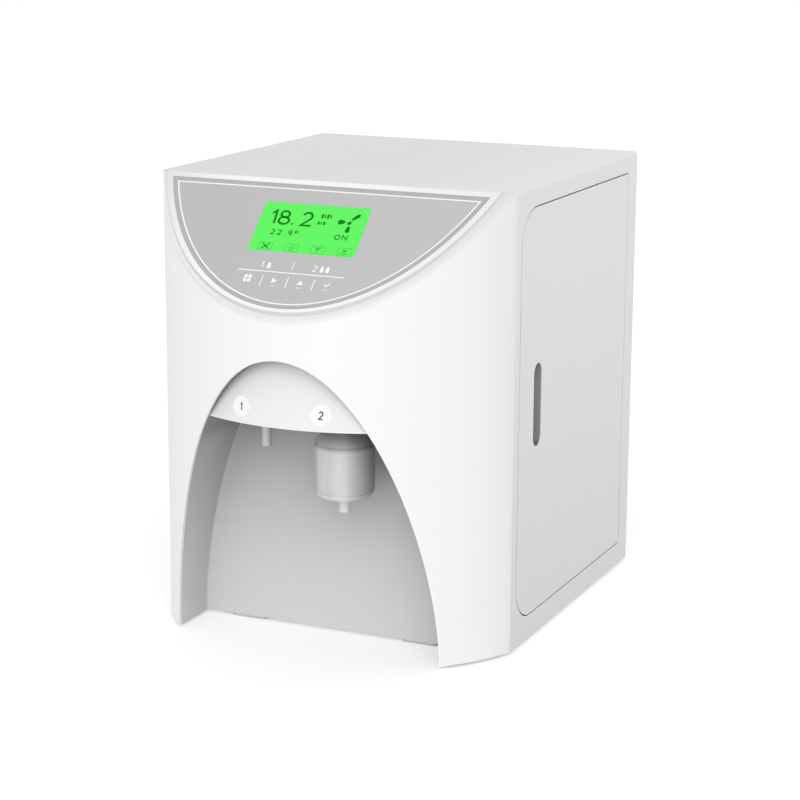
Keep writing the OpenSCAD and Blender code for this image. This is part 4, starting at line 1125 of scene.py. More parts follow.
class Shape:
    """A mesh in the making, in millimetres until it is placed."""

    def __init__(self) -> None:
        """Starts empty."""
        self.mesh = bmesh.new()

    def prism(self, outline: Sequence[Point2], low: float, high: float, place: Place) -> None:
        """Adds a plate of any outline.

        Args:
            outline: its corners in order.
            low: height of its lower face.
            high: height of its upper face.
            place: turns plate coordinates into a point in metres.
        """
        rows = [[self.mesh.verts.new(place(u, v, h)) for u, v in outline] for h in (low, high)]
        self.mesh.faces.new(rows[0][::-1])
        self.mesh.faces.new(rows[1])
        self._wall(rows[0], rows[1])

    def _wall(self, low: list, high: list) -> None:
        """Joins two closed rows of corners with quads.

        Args:
            low: the corners of the first row.
            high: as many of the second.
        """
        n = len(low)
        for i in range(n):
            j = (i + 1) % n
            self.mesh.faces.new((low[i], low[j], high[j], high[i]))

    def band(
        self,
        inner: Sequence[Point2],
        outer: Sequence[Point2],
        low: float,
        high: float,
        place: Place,
    ) -> None:
        """Adds a flat frame between two outlines with the same number of corners.

        Args:
            inner: the opening's corners in order.
            outer: the rim's corners in order.
            low: height of its lower face.
            high: height of its upper face.
            place: turns plate coordinates into a point in metres.
        """
        rings = [
            [self.mesh.verts.new(place(u, v, h)) for u, v in line]
            for line, h in ((inner, low), (outer, low), (outer, high), (inner, high))
        ]
        for first, second in zip(rings, rings[1:] + rings[:1]):
            self._wall(first, second)

    def ribbon(
        self, line: Sequence[Point2], width: float, low: float, high: float, place: Place
    ) -> None:
        """Adds a flat stroke along a line, closed when the line ends where it starts.

        Args:
            line: its middle, corner by corner.
            width: width of the stroke.
            low: height of its lower face.
            high: height of its upper face.
            place: turns plate coordinates into a point in metres.
        """
        points = [Vector(p) for p in line]
        closed = (points[0] - points[-1]).length < 1e-6
        if closed:
            points.pop()
        n = len(points)
        rows = []
        for i, point in enumerate(points):
            before = points[i - 1] if closed or i else point * 2.0 - points[1]
            after = points[(i + 1) % n] if closed or i < n - 1 else point * 2.0 - points[i - 1]
            ahead = [(point - before).normalized(), (after - point).normalized()]
            sides = [Vector((-d.y, d.x)) for d in ahead]
            mitre = (sides[0] + sides[1]).normalized()
            mitre *= width / 2.0 / max(0.45, mitre.dot(sides[0]))
            corners = ((-1, low), (1, low), (1, high), (-1, high))
            rows.append([
                self.mesh.verts.new(place(point.x + k * mitre.x, point.y + k * mitre.y, h))
                for k, h in corners
            ])
        for first, second in zip(rows, rows[1:] + (rows[:1] if closed else [])):
            self._wall(first, second)
        if not closed:
            self.mesh.faces.new(rows[0][::-1])
            self.mesh.faces.new(rows[-1])

    def figures(
        self,
        text: str,
        size: Point2,
        stroke: float,
        high: float,
        place: Place,
        lean: float = 0.0,
        gap: float = 0.2,
    ) -> None:
        """Adds plain figures drawn in strokes, centred at the place's origin.

        Args:
            text: the figures, all of them in GLYPHS.
            size: width and height in millimetres.
            stroke: width of the stroke.
            high: thickness of the ink.
            place: turns across, up and out into a point in metres.
            lean: how far they lean to the right.
            gap: space between figures, as a share of their height.
        """
        total = sum(GLYPHS[c][0] for c in text) + gap * (len(text) - 1)
        wide, tall = (size[0] - stroke) / total, size[1] - stroke
        start = 0.0
        for c in text:
            for line in GLYPHS[c][1]:
                row = [
                    ((start + u - total / 2) * wide + lean * (v - 0.5) * tall, (v - 0.5) * tall)
                    for u, v in line
                ]
                self.ribbon(row, stroke, 0.0, high, place)
            start += GLYPHS[c][0] + gap

    def lathe(self, profile: Sequence[Point2], place: Place, steps: int) -> None:
        """Adds a solid of revolution whose profile starts and ends on the axis.

        Args:
            profile: pairs of radius and height, from bottom to top.
            place: turns x, y and height into a point in metres.
            steps: facets round the axis.
        """
        rows = []
        for radius, height in profile:
            if radius < 1e-6:
                rows.append([self.mesh.verts.new(place(0.0, 0.0, height))])
                continue
            turns = [2 * math.pi * k / steps for k in range(steps)]
            ring = [place(radius * math.cos(t), radius * math.sin(t), height) for t in turns]
            rows.append([self.mesh.verts.new(p) for p in ring])
        for low, high in zip(rows, rows[1:]):
            for k in range(steps):
                j = (k + 1) % steps
                if len(low) == 1:
                    self.mesh.faces.new((low[0], high[j], high[k]))
                elif len(high) == 1:
                    self.mesh.faces.new((low[k], low[j], high[0]))
                else:
                    self.mesh.faces.new((low[k], low[j], high[j], high[k]))

    def finished(self, name: str) -> bpy.types.Mesh:
        """Turns the shape into a plain mesh, with its faces all outwards.

        Args:
            name: the mesh's name.

        Returns:
            The mesh.
        """
        bmesh.ops.recalc_face_normals(self.mesh, faces=self.mesh.faces)
        mesh = bpy.data.meshes.new(name)
        self.mesh.to_mesh(mesh)
        self.mesh.free()
        return mesh

    def piece(self, name: str, finish: Finish, body: str, slot: str) -> bpy.types.Object:
        """Turns the shape into an object that rides on a body, as adopt has it."""
        return adopt(name, self.finished(name), finish, body)


def stand(name: str, data: bpy.types.ID | None) -> bpy.types.Object:
    """Makes an object and links it to the scene.

    Args:
        name: the object's name.
        data: its mesh, camera or light.

    Returns:
        The new object.
    """
    thing = bpy.data.objects.new(name, data)
    bpy.context.scene.collection.objects.link(thing)
    return thing


def adopt(
    name: str, mesh: bpy.types.Mesh, finish: Finish, body: str, smooth: float = 35.0
) -> bpy.types.Object:
    """Makes an object from a finished mesh, dresses it and puts it on its body.

    Args:
        name: the piece's name.
        mesh: its mesh, in metres in the object's frame.
        finish: its finish.
        body: the CAD body that carries it.
        smooth: edges sharper than this many degrees stay sharp.

    Returns:
        The new object.
    """
    mesh.materials.clear()
    mesh.materials.append(finish.material())
    if smooth:
        mesh.polygons.foreach_set("use_smooth", [True] * len(mesh.polygons))
        mesh.set_sharp_from_angle(angle=math.radians(smooth))
    piece = stand(name, mesh)
    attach(piece, body)
    log.info("%s: %d faces on %s", name, len(mesh.polygons), body)
    return piece


def arc(middle: Point2, radii: Point2, start: float, end: float, n: int = 14) -> Outline:
    """Points along part of an ellipse."""
    turns = [math.radians(start + (end - start) * k / n) for k in range(n + 1)]
    return [(middle[0] + radii[0] * math.cos(t), middle[1] + radii[1] * math.sin(t)) for t in turns]


# Each figure's width, and its strokes in a box of height 1
GLYPHS: dict[str, tuple[float, list[Outline]]] = {
    "1": (0.34, [[(0.04, 0.76), (0.28, 1.0), (0.28, 0.0)]]),
    "2": (0.64, [[*arc((0.31, 0.71), (0.27, 0.29), 165, -35), (0.02, 0.0), (0.62, 0.0)]]),
    "3": (0.58, [[*arc((0.28, 0.76), (0.24, 0.24), 150, -80),
                  *arc((0.28, 0.26), (0.28, 0.26), 80, -150)]]),
    "4": (0.66, [[(0.46, 0.0), (0.46, 1.0), (0.02, 0.28), (0.64, 0.28)]]),
    "8": (0.66, [arc((0.33, 0.76), (0.25, 0.24), 90, 450, 24),
                 arc((0.33, 0.27), (0.31, 0.27), 90, 450, 24)]),
    "9": (0.58, [arc((0.29, 0.70), (0.26, 0.30), 0, 360, 24),
                 [(0.55, 0.70), *arc((0.21, 0.58), (0.34, 0.58), 0, -75)]]),
    ".": (0.16, [[(0.06, 0.0), (0.06, 0.10)]]),
    " ": (0.08, []),
    "o": (0.46, [arc((0.23, 0.78), (0.23, 0.24), 0, 360, 16)]),
    "O": (0.66, [arc((0.33, 0.5), (0.31, 0.5), 0, 360, 28)]),
    "N": (0.62, [[(0.03, 0.0), (0.03, 1.0), (0.59, 0.0), (0.59, 1.0)]]),
}


# Geometry Nodes -------------------------------------------------------------------------


class Pattern:
    """A Geometry Nodes tree, built here and run into plain meshes.

    SOCKETS has the kind of socket for each type of value.
    """

    SOCKETS: ClassVar[dict[type, str]] = {
        float: "NodeSocketFloat",
        int: "NodeSocketInt",
        tuple: "NodeSocketVector",
    }

    def __init__(self, name: str, sizes: dict[str, float | int | tuple]) -> None:
        """Starts a tree with named inputs.

        Args:
            name: the tree's name.
            sizes: each input's name and usual value.
        """
        self.tree = bpy.data.node_groups.new(name, "GeometryNodeTree")
        self.tree.interface.new_socket(
            "Geometry", in_out="OUTPUT", socket_type="NodeSocketGeometry"
        )
        self.ids: dict[str, str] = {}
        for key, value in sizes.items():
            socket = self.tree.interface.new_socket(
                key, in_out="INPUT", socket_type=self.SOCKETS[type(value)]
            )
            socket.default_value = value
            self.ids[key] = socket.identifier
        self.inlet = self.tree.nodes.new("NodeGroupInput")

    def size(self, name: str) -> bpy.types.NodeSocket:
        """The socket of a named input."""
        return self.inlet.outputs[name]

    def add(
        self,
        kind: str,
        settings: dict | None = None,
        inputs: dict | None = None,
        output: int | str = 0,
    ) -> bpy.types.NodeSocket:
        """Adds one node of any type, as new_node has it, and hands back one of its outputs."""
        return new_node(self.tree, kind, settings, inputs).outputs[output]

    def end(self, geometry: bpy.types.NodeSocket, finish: Finish) -> None:
        """Closes the tree with Realize Instances and Set Material.

        Args:
            geometry: what the tree has made.
            finish: its finish.
        """
        real = self.add("GeometryNodeRealizeInstances", None, {"Geometry": geometry})
        dressed = self.add(
            "GeometryNodeSetMaterial", None, {"Geometry": real, "Material": finish.material()}
        )
        new_node(self.tree, "NodeGroupOutput", None, {0: dressed})

    def run(self, **sizes: float | int | tuple) -> bpy.types.Mesh:
        """Evaluates the tree with these sizes.

        Args:
            sizes: values for the named inputs, with spaces written as underscores.

        Returns:
            The result as a plain mesh in metres.
        """
        holder = stand("pattern", bpy.data.meshes.new("pattern"))
        modifier = holder.modifiers.new("pattern", "NODES")
        modifier.node_group = self.tree
        for key, value in sizes.items():
            modifier[self.ids[key.replace("_", " ")]] = value
        bpy.context.view_layer.update()
        evaluated = holder.evaluated_get(bpy.context.evaluated_depsgraph_get())
        mesh = bpy.data.meshes.new_from_object(evaluated)
        holder.modifiers.clear()
        bpy.data.objects.remove(holder)
        return mesh


# The object's sub-assemblies ------------------------------------------------------------


def bar(x: float, s: float, width: float, height: float) -> Outline:
    """A plain rectangle about a point."""
    w, h = width / 2, height / 2
    return [(x - w, s - h), (x + w, s - h), (x + w, s + h), (x - w, s + h)]


def moved(outline: Outline, x: float, s: float) -> Outline:
    """An outline, moved across and down the slope."""
    return [(x + u, s + v) for u, v in outline]


class KeySign(Enum):
    """The sign on a lower key, as an outline about its middle."""

    RIGHT = [(-2.4, -3.2), (3.1, 0.0), (-2.4, 3.2)]
    UP = [(-3.3, 2.3), (0.0, -3.0), (3.3, 2.3)]
    TICK = [(-3.6, -0.6), (-2.8, -1.5), (-0.9, 0.7), (3.2, -2.8), (3.9, -1.9), (-0.8, 2.4)]


class BoxMark(Enum):
    """The mark in a box at the display's foot, as outlines about the box's middle."""

    CROSS = [
        [(-4.0, -3.3 * k - 0.8), (4.0, 3.3 * k - 0.8), (4.0, 3.3 * k + 0.8), (-4.0, -3.3 * k + 0.8)]
        for k in (-1, 1)
    ]
    LIST = [bar(0.0, -2.6, 5.4, 0.9), bar(0.0, 0.0, 8.0, 0.9), bar(0.0, 2.6, 5.4, 0.9)]
    FUNNEL = [[(-4.2, -3.0), (4.2, -3.0), (0.7, 0.6), (0.7, 3.2), (-0.7, 3.2), (-0.7, 0.6)]]
    TRAY = [bar(0.0, 2.4, 8.6, 1.0), bar(0.0, -1.0, 4.6, 3.4)]


@dataclass(frozen=True)
class Reading:
    """One line of figures on the display.

    Args:
        text: the figures.
        x, s: their middle, across and down the slope in millimetres.
        size: width and height of them all.
        stroke: width of their strokes.
        lean: how far they lean to the right.
        gap: space between them, as a share of their height.
    """

    text: str
    x: float
    s: float
    size: Point2
    stroke: float
    lean: float
    gap: float


@dataclass
class ControlPanel:
    """Prints on the membrane overlay and the figures on the display.

    Places are in millimetres, x across from the middle and s down the slope.

    Args:
        line: width of the printed outline.
        film: thickness of the white ink.
        sink: how far the white ink reaches into the film.
        rule, rule_s, rule_w: ends, place and width of the rule between the rows of keys.
        bars_x: places of the separators between the lower keys; the upper row has the middle one.
        bars_s, bars_h: place and height of the upper and of the lower separators.
        bar_w: their width.
        keys_x, key_s: places of the two upper keys' signs.
        key_h: height of their figures.
        key_stroke: stroke of their figures.
        one_w, two_w: width of each figure.
        drop_s: place of their drops.
        drop: length and width of a drop.
        drop_pitch: spacing of two drops.
        before, after: how far left and right of the key's place the figure and the drop lie.
        icons, icon_s: places of the four lower keys' signs.
        petal: half width of a petal.
        spread: half spacing of the petals, across and down the slope.
        raised: how far up from the key's place their middle lies.
        corners: exponents of a petal's outer corner and of its others.
        underline: distance, width and height of the line under a sign.
        screen_h: height of the display's face, out of the panel.
        dark_film, faint_film: thickness of the display's figures and of its boxes.
        readings: the figures.
        ticks: for each row its first tick, its place, how many ticks and their height.
        tick_pitch: spacing of the ticks.
        tick_kinds: width and share of the height, by turns along a row.
        blades: place, size and turn of the display's drops.
        boxes, box_s: places of the boxes at its foot.
        box: width and height of a box.
        box_line: width of a box's outline.
    """

    line: float = 1.5
    film: float = 0.06
    sink: float = -0.02
    rule: Point2 = (-60.8, 56.8)
    rule_s: float = 116.5
    rule_w: float = 1.1
    bars_x: Point3 = (-30.2, -1.8, 27.2)
    bars_s: Point2 = (108.0, 128.0)
    bars_h: Point2 = (10.0, 12.9)
    bar_w: float = 0.9
    keys_x: Point2 = (-31.2, 27.3)
    key_s: float = 108.6
    key_h: float = 8.0
    key_stroke: float = 1.0
    one_w: float = 3.2
    two_w: float = 5.0
    drop_s: float = 109.0
    drop: Point2 = (7.8, 3.9)
    drop_pitch: float = 6.2
    before: float = 4.6
    after: float = 3.0
    icons: tuple[float, float, float, float] = (-46.1, -16.2, 12.7, 42.0)
    icon_s: float = 127.0
    petal: float = 1.95
    spread: Point2 = (2.3, 2.4)
    raised: float = 0.6
    corners: Point2 = (2.2, 5.0)
    underline: Point3 = (6.2, 5.4, 0.6)
    screen_h: float = -0.1
    dark_film: float = 0.05
    faint_film: float = 0.04
    readings: tuple[Reading, ...] = (
        Reading("18. 2", -24.4, 49.3, (49.5, 18.6), 2.5, -0.08, 0.16),
        Reading("22.9o", -26.4, 67.8, (31.0, 6.8), 1.15, 0.0, 0.5),
        Reading("ON", 37.0, 68.6, (15.0, 6.6), 1.2, 0.0, 0.3),
    )
    ticks: tuple[tuple[float, float, int, float], ...] = (
        (8.6, 44.2, 4, 5.4), (7.0, 53.0, 3, 4.0),
    )
    tick_pitch: float = 3.1
    tick_kinds: tuple[Point2, Point2] = ((2.2, 1.0), (1.5, 0.72))
    blades: tuple[tuple[float, float, Point2, float], ...] = (
        (31.4, 49.8, (8.0, 6.2), 0.0), (45.4, 42.9, (10.5, 4.4), 136.0),
        (41.0, 58.4, (8.4, 5.0), -92.0), (40.2, 50.6, (4.8, 4.2), 150.0),
    )
    boxes: tuple[float, float, float, float] = (-41.0, -11.8, 17.3, 46.4)
    box_s: float = 85.8
    box: Point2 = (14.4, 9.4)
    box_line: float = 0.55

    def build(self) -> None:
        """Makes every print."""
        self.overlay_print()
        self.screen_figures()
        self.screen_icons()

    def _outline(self, n: int = 120) -> Outline:
        """The printed outline.

        Args:
            n: how many steps its round stretch has.

        Returns:
            Its corners in order.
        """
        a, b = KEYPAD_FILM.across, KEYPAD_FILM.along
        start = math.asin((PANEL.axis_s + KEYPAD_FILM.top) / b)
        turn = [start + (math.pi - 2 * start) * k / n for k in range(n + 1)]
        return [(a * math.cos(t), b * math.sin(t) - PANEL.axis_s) for t in turn]

    @staticmethod
    def water_drop(x: float, s: float, size: Point2, turn: float, n: int = 28) -> Outline:
        """A water drop.

        Args:
            x: its middle across.
            s: its middle down the slope.
            size: its length and width.
            turn: where its point is turned to, in degrees.
            n: how many corners it has.

        Returns:
            Its corners in order.
        """
        line = []
        for k in range(n):
            t = 2 * math.pi * k / n
            u = 0.5 + 0.5 * max(0.0, math.cos(t)) ** 5
            line.append((size[0] * (u * math.cos(t) - 0.25) / 1.5, size[1] * u * math.sin(t)))
        cos, sin = math.cos(math.radians(turn)), math.sin(math.radians(turn))
        return [(x + u * cos - v * sin, s + u * sin + v * cos) for u, v in line]

    @staticmethod
    def _laid(x: float, s: float, base: float) -> Place:
        """Places figures, drawn across and up, on the panel.

        Args:
            x: their middle across.
            s: their middle down the slope.
            base: height of their foot out of the panel.

        Returns:
            What turns plate coordinates into a point in metres.
        """

        def place(u: float, v: float, h: float) -> Point3:
            """One corner of a figure."""
            return PANEL.at(x + u, s - v, base + h)

        return place

    def _on_screen(self, x: float, s: float, h: float) -> Point3:
        """A point on the display's face, in metres."""
        return PANEL.at(x, s, self.screen_h + h)

    def overlay_print(self) -> None:
        """White outline, rules, key marks and icons on the film."""
        ink = Shape()
        outline = self._outline()
        ink.ribbon([*outline, outline[0]], self.line, self.sink, self.film, PANEL.at)
        left, right = self.rule
        marks = [bar((left + right) / 2, self.rule_s, right - left, self.rule_w)]
        for mark in marks + self._separators() + self._key_icons():
            ink.prism(mark, self.sink, self.film, PANEL.at)
        for count, x, width in zip((1, 2), self.keys_x, (self.one_w, self.two_w)):
            place = self._laid(x - self.before, self.key_s, 0.0)
            ink.figures(str(count), (width, self.key_h), self.key_stroke, self.film, place)
            for k in range(count):
                drop_x = x + self.after + self.drop_pitch * k
                drop = self.water_drop(drop_x, self.drop_s, self.drop, -90.0)
                ink.prism(drop, self.sink, self.film, PANEL.at)
        ink.piece("overlay_print", WHITE_INK, "cabinet", "label_white")

    def _separators(self) -> list[Outline]:
        """Short upright strokes between the keys.

        Returns:
            Their outlines.
        """
        upper = bar(self.bars_x[1], self.bars_s[0], self.bar_w, self.bars_h[0])
        row = [bar(x, self.bars_s[1], self.bar_w, self.bars_h[1]) for x in self.bars_x]
        return [upper, *row]

    def _key_icons(self) -> list[Outline]:
        """Four petals, two arrowheads and a tick, the last three underlined.

        Returns:
            Their outlines.
        """
        s = self.icon_s
        first, *others = self.icons
        across, along = self.spread
        marks = [
            self._petal(first + dx * across, s - self.raised + ds * along, dx, ds)
            for dx in (-1, 1) for ds in (-1, 1)
        ]
        marks += [moved(sign.value, x, s) for sign, x in zip(KeySign, others)]
        below, width, height = self.underline
        return marks + [bar(x, s + below, width, height) for x in others]

    def _petal(self, x: float, s: float, dx: int, ds: int, n: int = 20) -> Outline:
        """A rounded square whose outer corner is the roundest.

        Args:
            x: its middle across.
            s: its middle down the slope.
            dx: 1 where its outer corner lies to the right, -1 to the left.
            ds: 1 where that corner lies down the slope, -1 up.
            n: how many corners it has.

        Returns:
            Its corners in order.
        """
        line = []
        for k in range(n):
            t = 2 * math.pi * k / n
            u, v = math.cos(t), math.sin(t)
            soft = self.corners[0] if u * dx > 0 and v * ds > 0 else self.corners[1]
            r = self.petal / (abs(u) ** soft + abs(v) ** soft) ** (1 / soft)
            line.append((x + r * u, s + r * v))
        return line

    def screen_figures(self) -> None:
        """The large reading, the small reading and the state in plain figures."""
        ink = Shape()
        for row in self.readings:
            place = self._laid(row.x, row.s, self.screen_h)
            ink.figures(row.text, row.size, row.stroke, self.dark_film, place, row.lean, row.gap)
        blades = [self.water_drop(*blade) for blade in self.blades]
        cross = [moved(arm, self.boxes[0], self.box_s) for arm in BoxMark.CROSS.value]
        for mark in self._unit_ticks() + blades + cross:
            ink.prism(mark, 0.0, self.dark_film, self._on_screen)
        ink.piece("screen_figures", SCREEN_INK, "cabinet", "lcd_green")

    def _unit_ticks(self) -> list[Outline]:
        """Two rows of ticks, by turns wide and narrow, that stand in for the reading's unit.

        Returns:
            Their outlines.
        """
        return [
            bar(x + self.tick_pitch * k, s, width, height * share)
            for x, s, count, height in self.ticks
            for k, (width, share) in zip(range(count), self.tick_kinds * count)
        ]

    def screen_icons(self) -> None:
        """Four small boxes along the display's foot, three of them with a mark."""
        ink = Shape()
        for mark, x in zip(BoxMark, self.boxes):
            box = bar(x, self.box_s, *self.box)
            ink.ribbon([*box, box[0]], self.box_line, 0.0, self.faint_film, self._on_screen)
            for part in [] if mark is BoxMark.CROSS else mark.value:
                place = moved(part, x, self.box_s)
                ink.prism(place, 0.0, self.faint_film, self._on_screen)
        ink.piece("screen_icons", FAINT_INK, "cabinet", "lcd_green")


@dataclass
class DispenseHood:
    """Figures on the two outlet labels of the hood.

    Args:
        axis_y: where the bow's axis lies, in millimetres.
        radius: radius of the label faces at the hood's lower edge.
        edge_z: height of that edge.
        lean: inward lean of the hood.
        label_z: height of the labels' middle.
        labels: each figure with its place across and its width.
        tall: height of a figure.
        stroke: width of its strokes.
        film: thickness of the ink.
    """

    axis_y: float = -38.48
    radius: float = 213.58
    edge_z: float = 248.0
    lean: float = 0.2
    label_z: float = 264.3
    labels: tuple[tuple[str, float, float], ...] = (("1", -46.7, 3.6), ("2", 42.8, 5.6))
    tall: float = 8.6
    stroke: float = 1.35
    film: float = 0.06

    def on_label(self, x: float) -> Place:
        """Wraps figures round the hood.

        Args:
            x: their middle across.

        Returns:
            What turns plate coordinates into a point in metres.
        """

        def place(u: float, v: float, h: float) -> Point3:
            """One corner of a figure.

            Args:
                u: how far right of the middle.
                v: how far above it.
                h: how far out of the label.

            Returns:
                The point in metres.
            """
            z = self.label_z + v
            r = self.radius - self.lean * (z - self.edge_z) + h
            y = self.axis_y - math.sqrt(r * r - (x + u) ** 2)
            return metres(x + u, y, z)

        return place

    def build(self) -> None:
        """Makes the figures."""
        ink = Shape()
        for figure, x, width in self.labels:
            ink.figures(figure, (width, self.tall), self.stroke, self.film, self.on_label(x))
        ink.piece("outlet_figures", BLACK_INK, "cabinet", "label_white")


@dataclass
class CapsuleFilter:
    """The capsule's pleated membrane.

    Args:
        x, y: where its axis stands.
        low, high: ends of the pleated pack.
        outer, inner: radii of the pleats.
        lid: thickness of an end disc.
        pleats: how many there are.
    """

    x: float = 39.5
    y: float = -184.0
    low: float = 172.8
    high: float = 225.2
    outer: float = 25.0
    inner: float = 15.5
    lid: float = 2.2
    pleats: int = 44

    def build(self) -> None:
        """A pleated tube between two end discs, as a Geometry Nodes tree."""
        pattern = Pattern("pleated_pack", {
            "Pleats": 40, "Outer": 0.025, "Inner": 0.016, "Height": 0.05, "Lid": 0.002,
            "Middle": (0.0, 0.0, 0.0),
        })
        star = pattern.add("GeometryNodeCurveStar", None, {
            "Points": pattern.size("Pleats"), "Inner Radius": pattern.size("Inner"),
            "Outer Radius": pattern.size("Outer"),
        })
        rise = pattern.add("ShaderNodeCombineXYZ", None, {"Z": pattern.size("Height")})
        path = pattern.add("GeometryNodeCurvePrimitiveLine", None, {"End": rise})
        pack = pattern.add("GeometryNodeCurveToMesh", None, {
            "Curve": path, "Profile Curve": star, "Fill Caps": True,
        })
        disc = pattern.add("GeometryNodeMeshCylinder", None, {
            "Vertices": 64, "Radius": pattern.size("Outer"), "Depth": pattern.size("Lid"),
        })
        lids = pattern.add("GeometryNodeInstanceOnPoints", None, {
            "Points": pattern.add("GeometryNodeMeshLine", {"mode": "END_POINTS"}, {
                "Count": 2, "Offset": rise,
            }),
            "Instance": disc,
        })
        whole = pattern.add("GeometryNodeJoinGeometry", None, {"Geometry": [pack, lids]})
        moved = pattern.add("GeometryNodeTransform", None, {
            "Geometry": whole, "Translation": pattern.size("Middle"),
        })
        pattern.end(moved, PLEATED_CLOTH)
        mesh = pattern.run(
            Pleats=self.pleats, Outer=self.outer * MM, Inner=self.inner * MM,
            Height=(self.high - self.low) * MM, Lid=self.lid * MM,
            Middle=metres(self.x, self.y, self.low),
        )
        piece = adopt("pleated_membrane", mesh, PLEATED_CLOTH, "capsule")
        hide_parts("capsule_membrane")


@dataclass
class FilterBank:
    """Ribs and figures of the four cartridges behind the door.

    Args:
        x: where their axes stand.
        first_y: axis of the foremost one.
        pitch: spacing towards the back.
        radius: radius of a cartridge.
        foot_z: height of their lower ends.
        ribs: how many grip ribs each has.
        rib: radius and length of a rib.
        rib_z: height of the ribs' middle over the lower end.
        rib_sink: how far a rib's axis lies inside the cartridge's wall.
        figure_z: height of the figure's middle.
        one_w, other_w, tall: width of a 1, of another figure, and their height.
        stroke: width of their strokes.
        film: thickness of the ink.
        bodies: the cartridges' bodies, from the foremost one.
        caps: colours of their caps.
    """

    x: float = 140.0
    first_y: float = -59.0
    pitch: float = 74.0
    radius: float = 33.0
    foot_z: float = 77.0
    ribs: int = 32
    rib: Point2 = (1.1, 9.0)
    rib_z: float = 20.0
    rib_sink: float = 0.2
    figure_z: float = 230.0
    one_w: float = 9.0
    other_w: float = 16.0
    tall: float = 26.0
    stroke: float = 3.0
    film: float = 0.08
    bodies: tuple[str, ...] = ("polishing", "membrane", "carbon", "sediment")
    caps: tuple[Rgb, ...] = (
        (0.10, 0.28, 0.55), (0.16, 0.40, 0.56), (0.12, 0.14, 0.17), (0.45, 0.50, 0.55),
    )

    def rib_pattern(self) -> Pattern:
        """Upright grip ribs standing in a circle.

        Returns:
            The tree, ready to run.
        """
        pattern = Pattern("grip_ribs", {
            "Ribs": 32, "Radius": 0.033, "Width": 0.001, "Length": 0.016, "Foot": (0.0, 0.0, 0.0),
        })
        ring = pattern.add("GeometryNodeMeshCircle", None, {
            "Vertices": pattern.size("Ribs"), "Radius": pattern.size("Radius"),
        })
        rib = pattern.add("GeometryNodeMeshCylinder", None, {
            "Vertices": 8, "Radius": pattern.size("Width"), "Depth": pattern.size("Length"),
        })
        stand = pattern.add("GeometryNodeInstanceOnPoints", None, {"Points": ring, "Instance": rib})
        moved = pattern.add("GeometryNodeTransform", None, {
            "Geometry": stand, "Translation": pattern.size("Foot"),
        })
        pattern.end(moved, CAP_RIBS)
        return pattern

    def build(self) -> None:
        """Makes the ribs and a figure for each cartridge, and dresses the cartridges."""
        pattern = self.rib_pattern()
        for k, body in enumerate(self.bodies):
            y = self.first_y + k * self.pitch
            mesh = pattern.run(
                Ribs=self.ribs, Radius=(self.radius - self.rib_sink) * MM,
                Width=self.rib[0] * MM, Length=self.rib[1] * MM,
                Foot=metres(self.x, y, self.foot_z + self.rib_z),
            )
            adopt(f"{body}_ribs", mesh, CAP_RIBS, body)
            self.figure(body, str(len(self.bodies) - k), y)
            dress(f"{body}_cartridge", cartridge_finish(f"{body}_housing", self.caps[k]))

    def figure(self, body: str, text: str, y: float) -> None:
        """Prints the cartridge's place in the flow on its side.

        Args:
            body: the cartridge's body.
            text: the figure.
            y: where the cartridge's axis stands.
        """

        def wrap(u: float, v: float, h: float) -> Point3:
            """One corner, wrapped round the housing and facing the door.

            Args:
                u: how far round from the middle.
                v: how far above it.
                h: how far out of the housing.

            Returns:
                The point in metres.
            """
            r = self.radius + h
            t = u / self.radius
            return metres(self.x + r * math.cos(t), y + r * math.sin(t), self.figure_z + v)

        ink = Shape()
        size = (self.one_w if text == "1" else self.other_w, self.tall)
        ink.figures(text, size, self.stroke, self.film, wrap)
        ink.piece(f"{body}_figure", BLACK_INK, body, "cartridge_white")


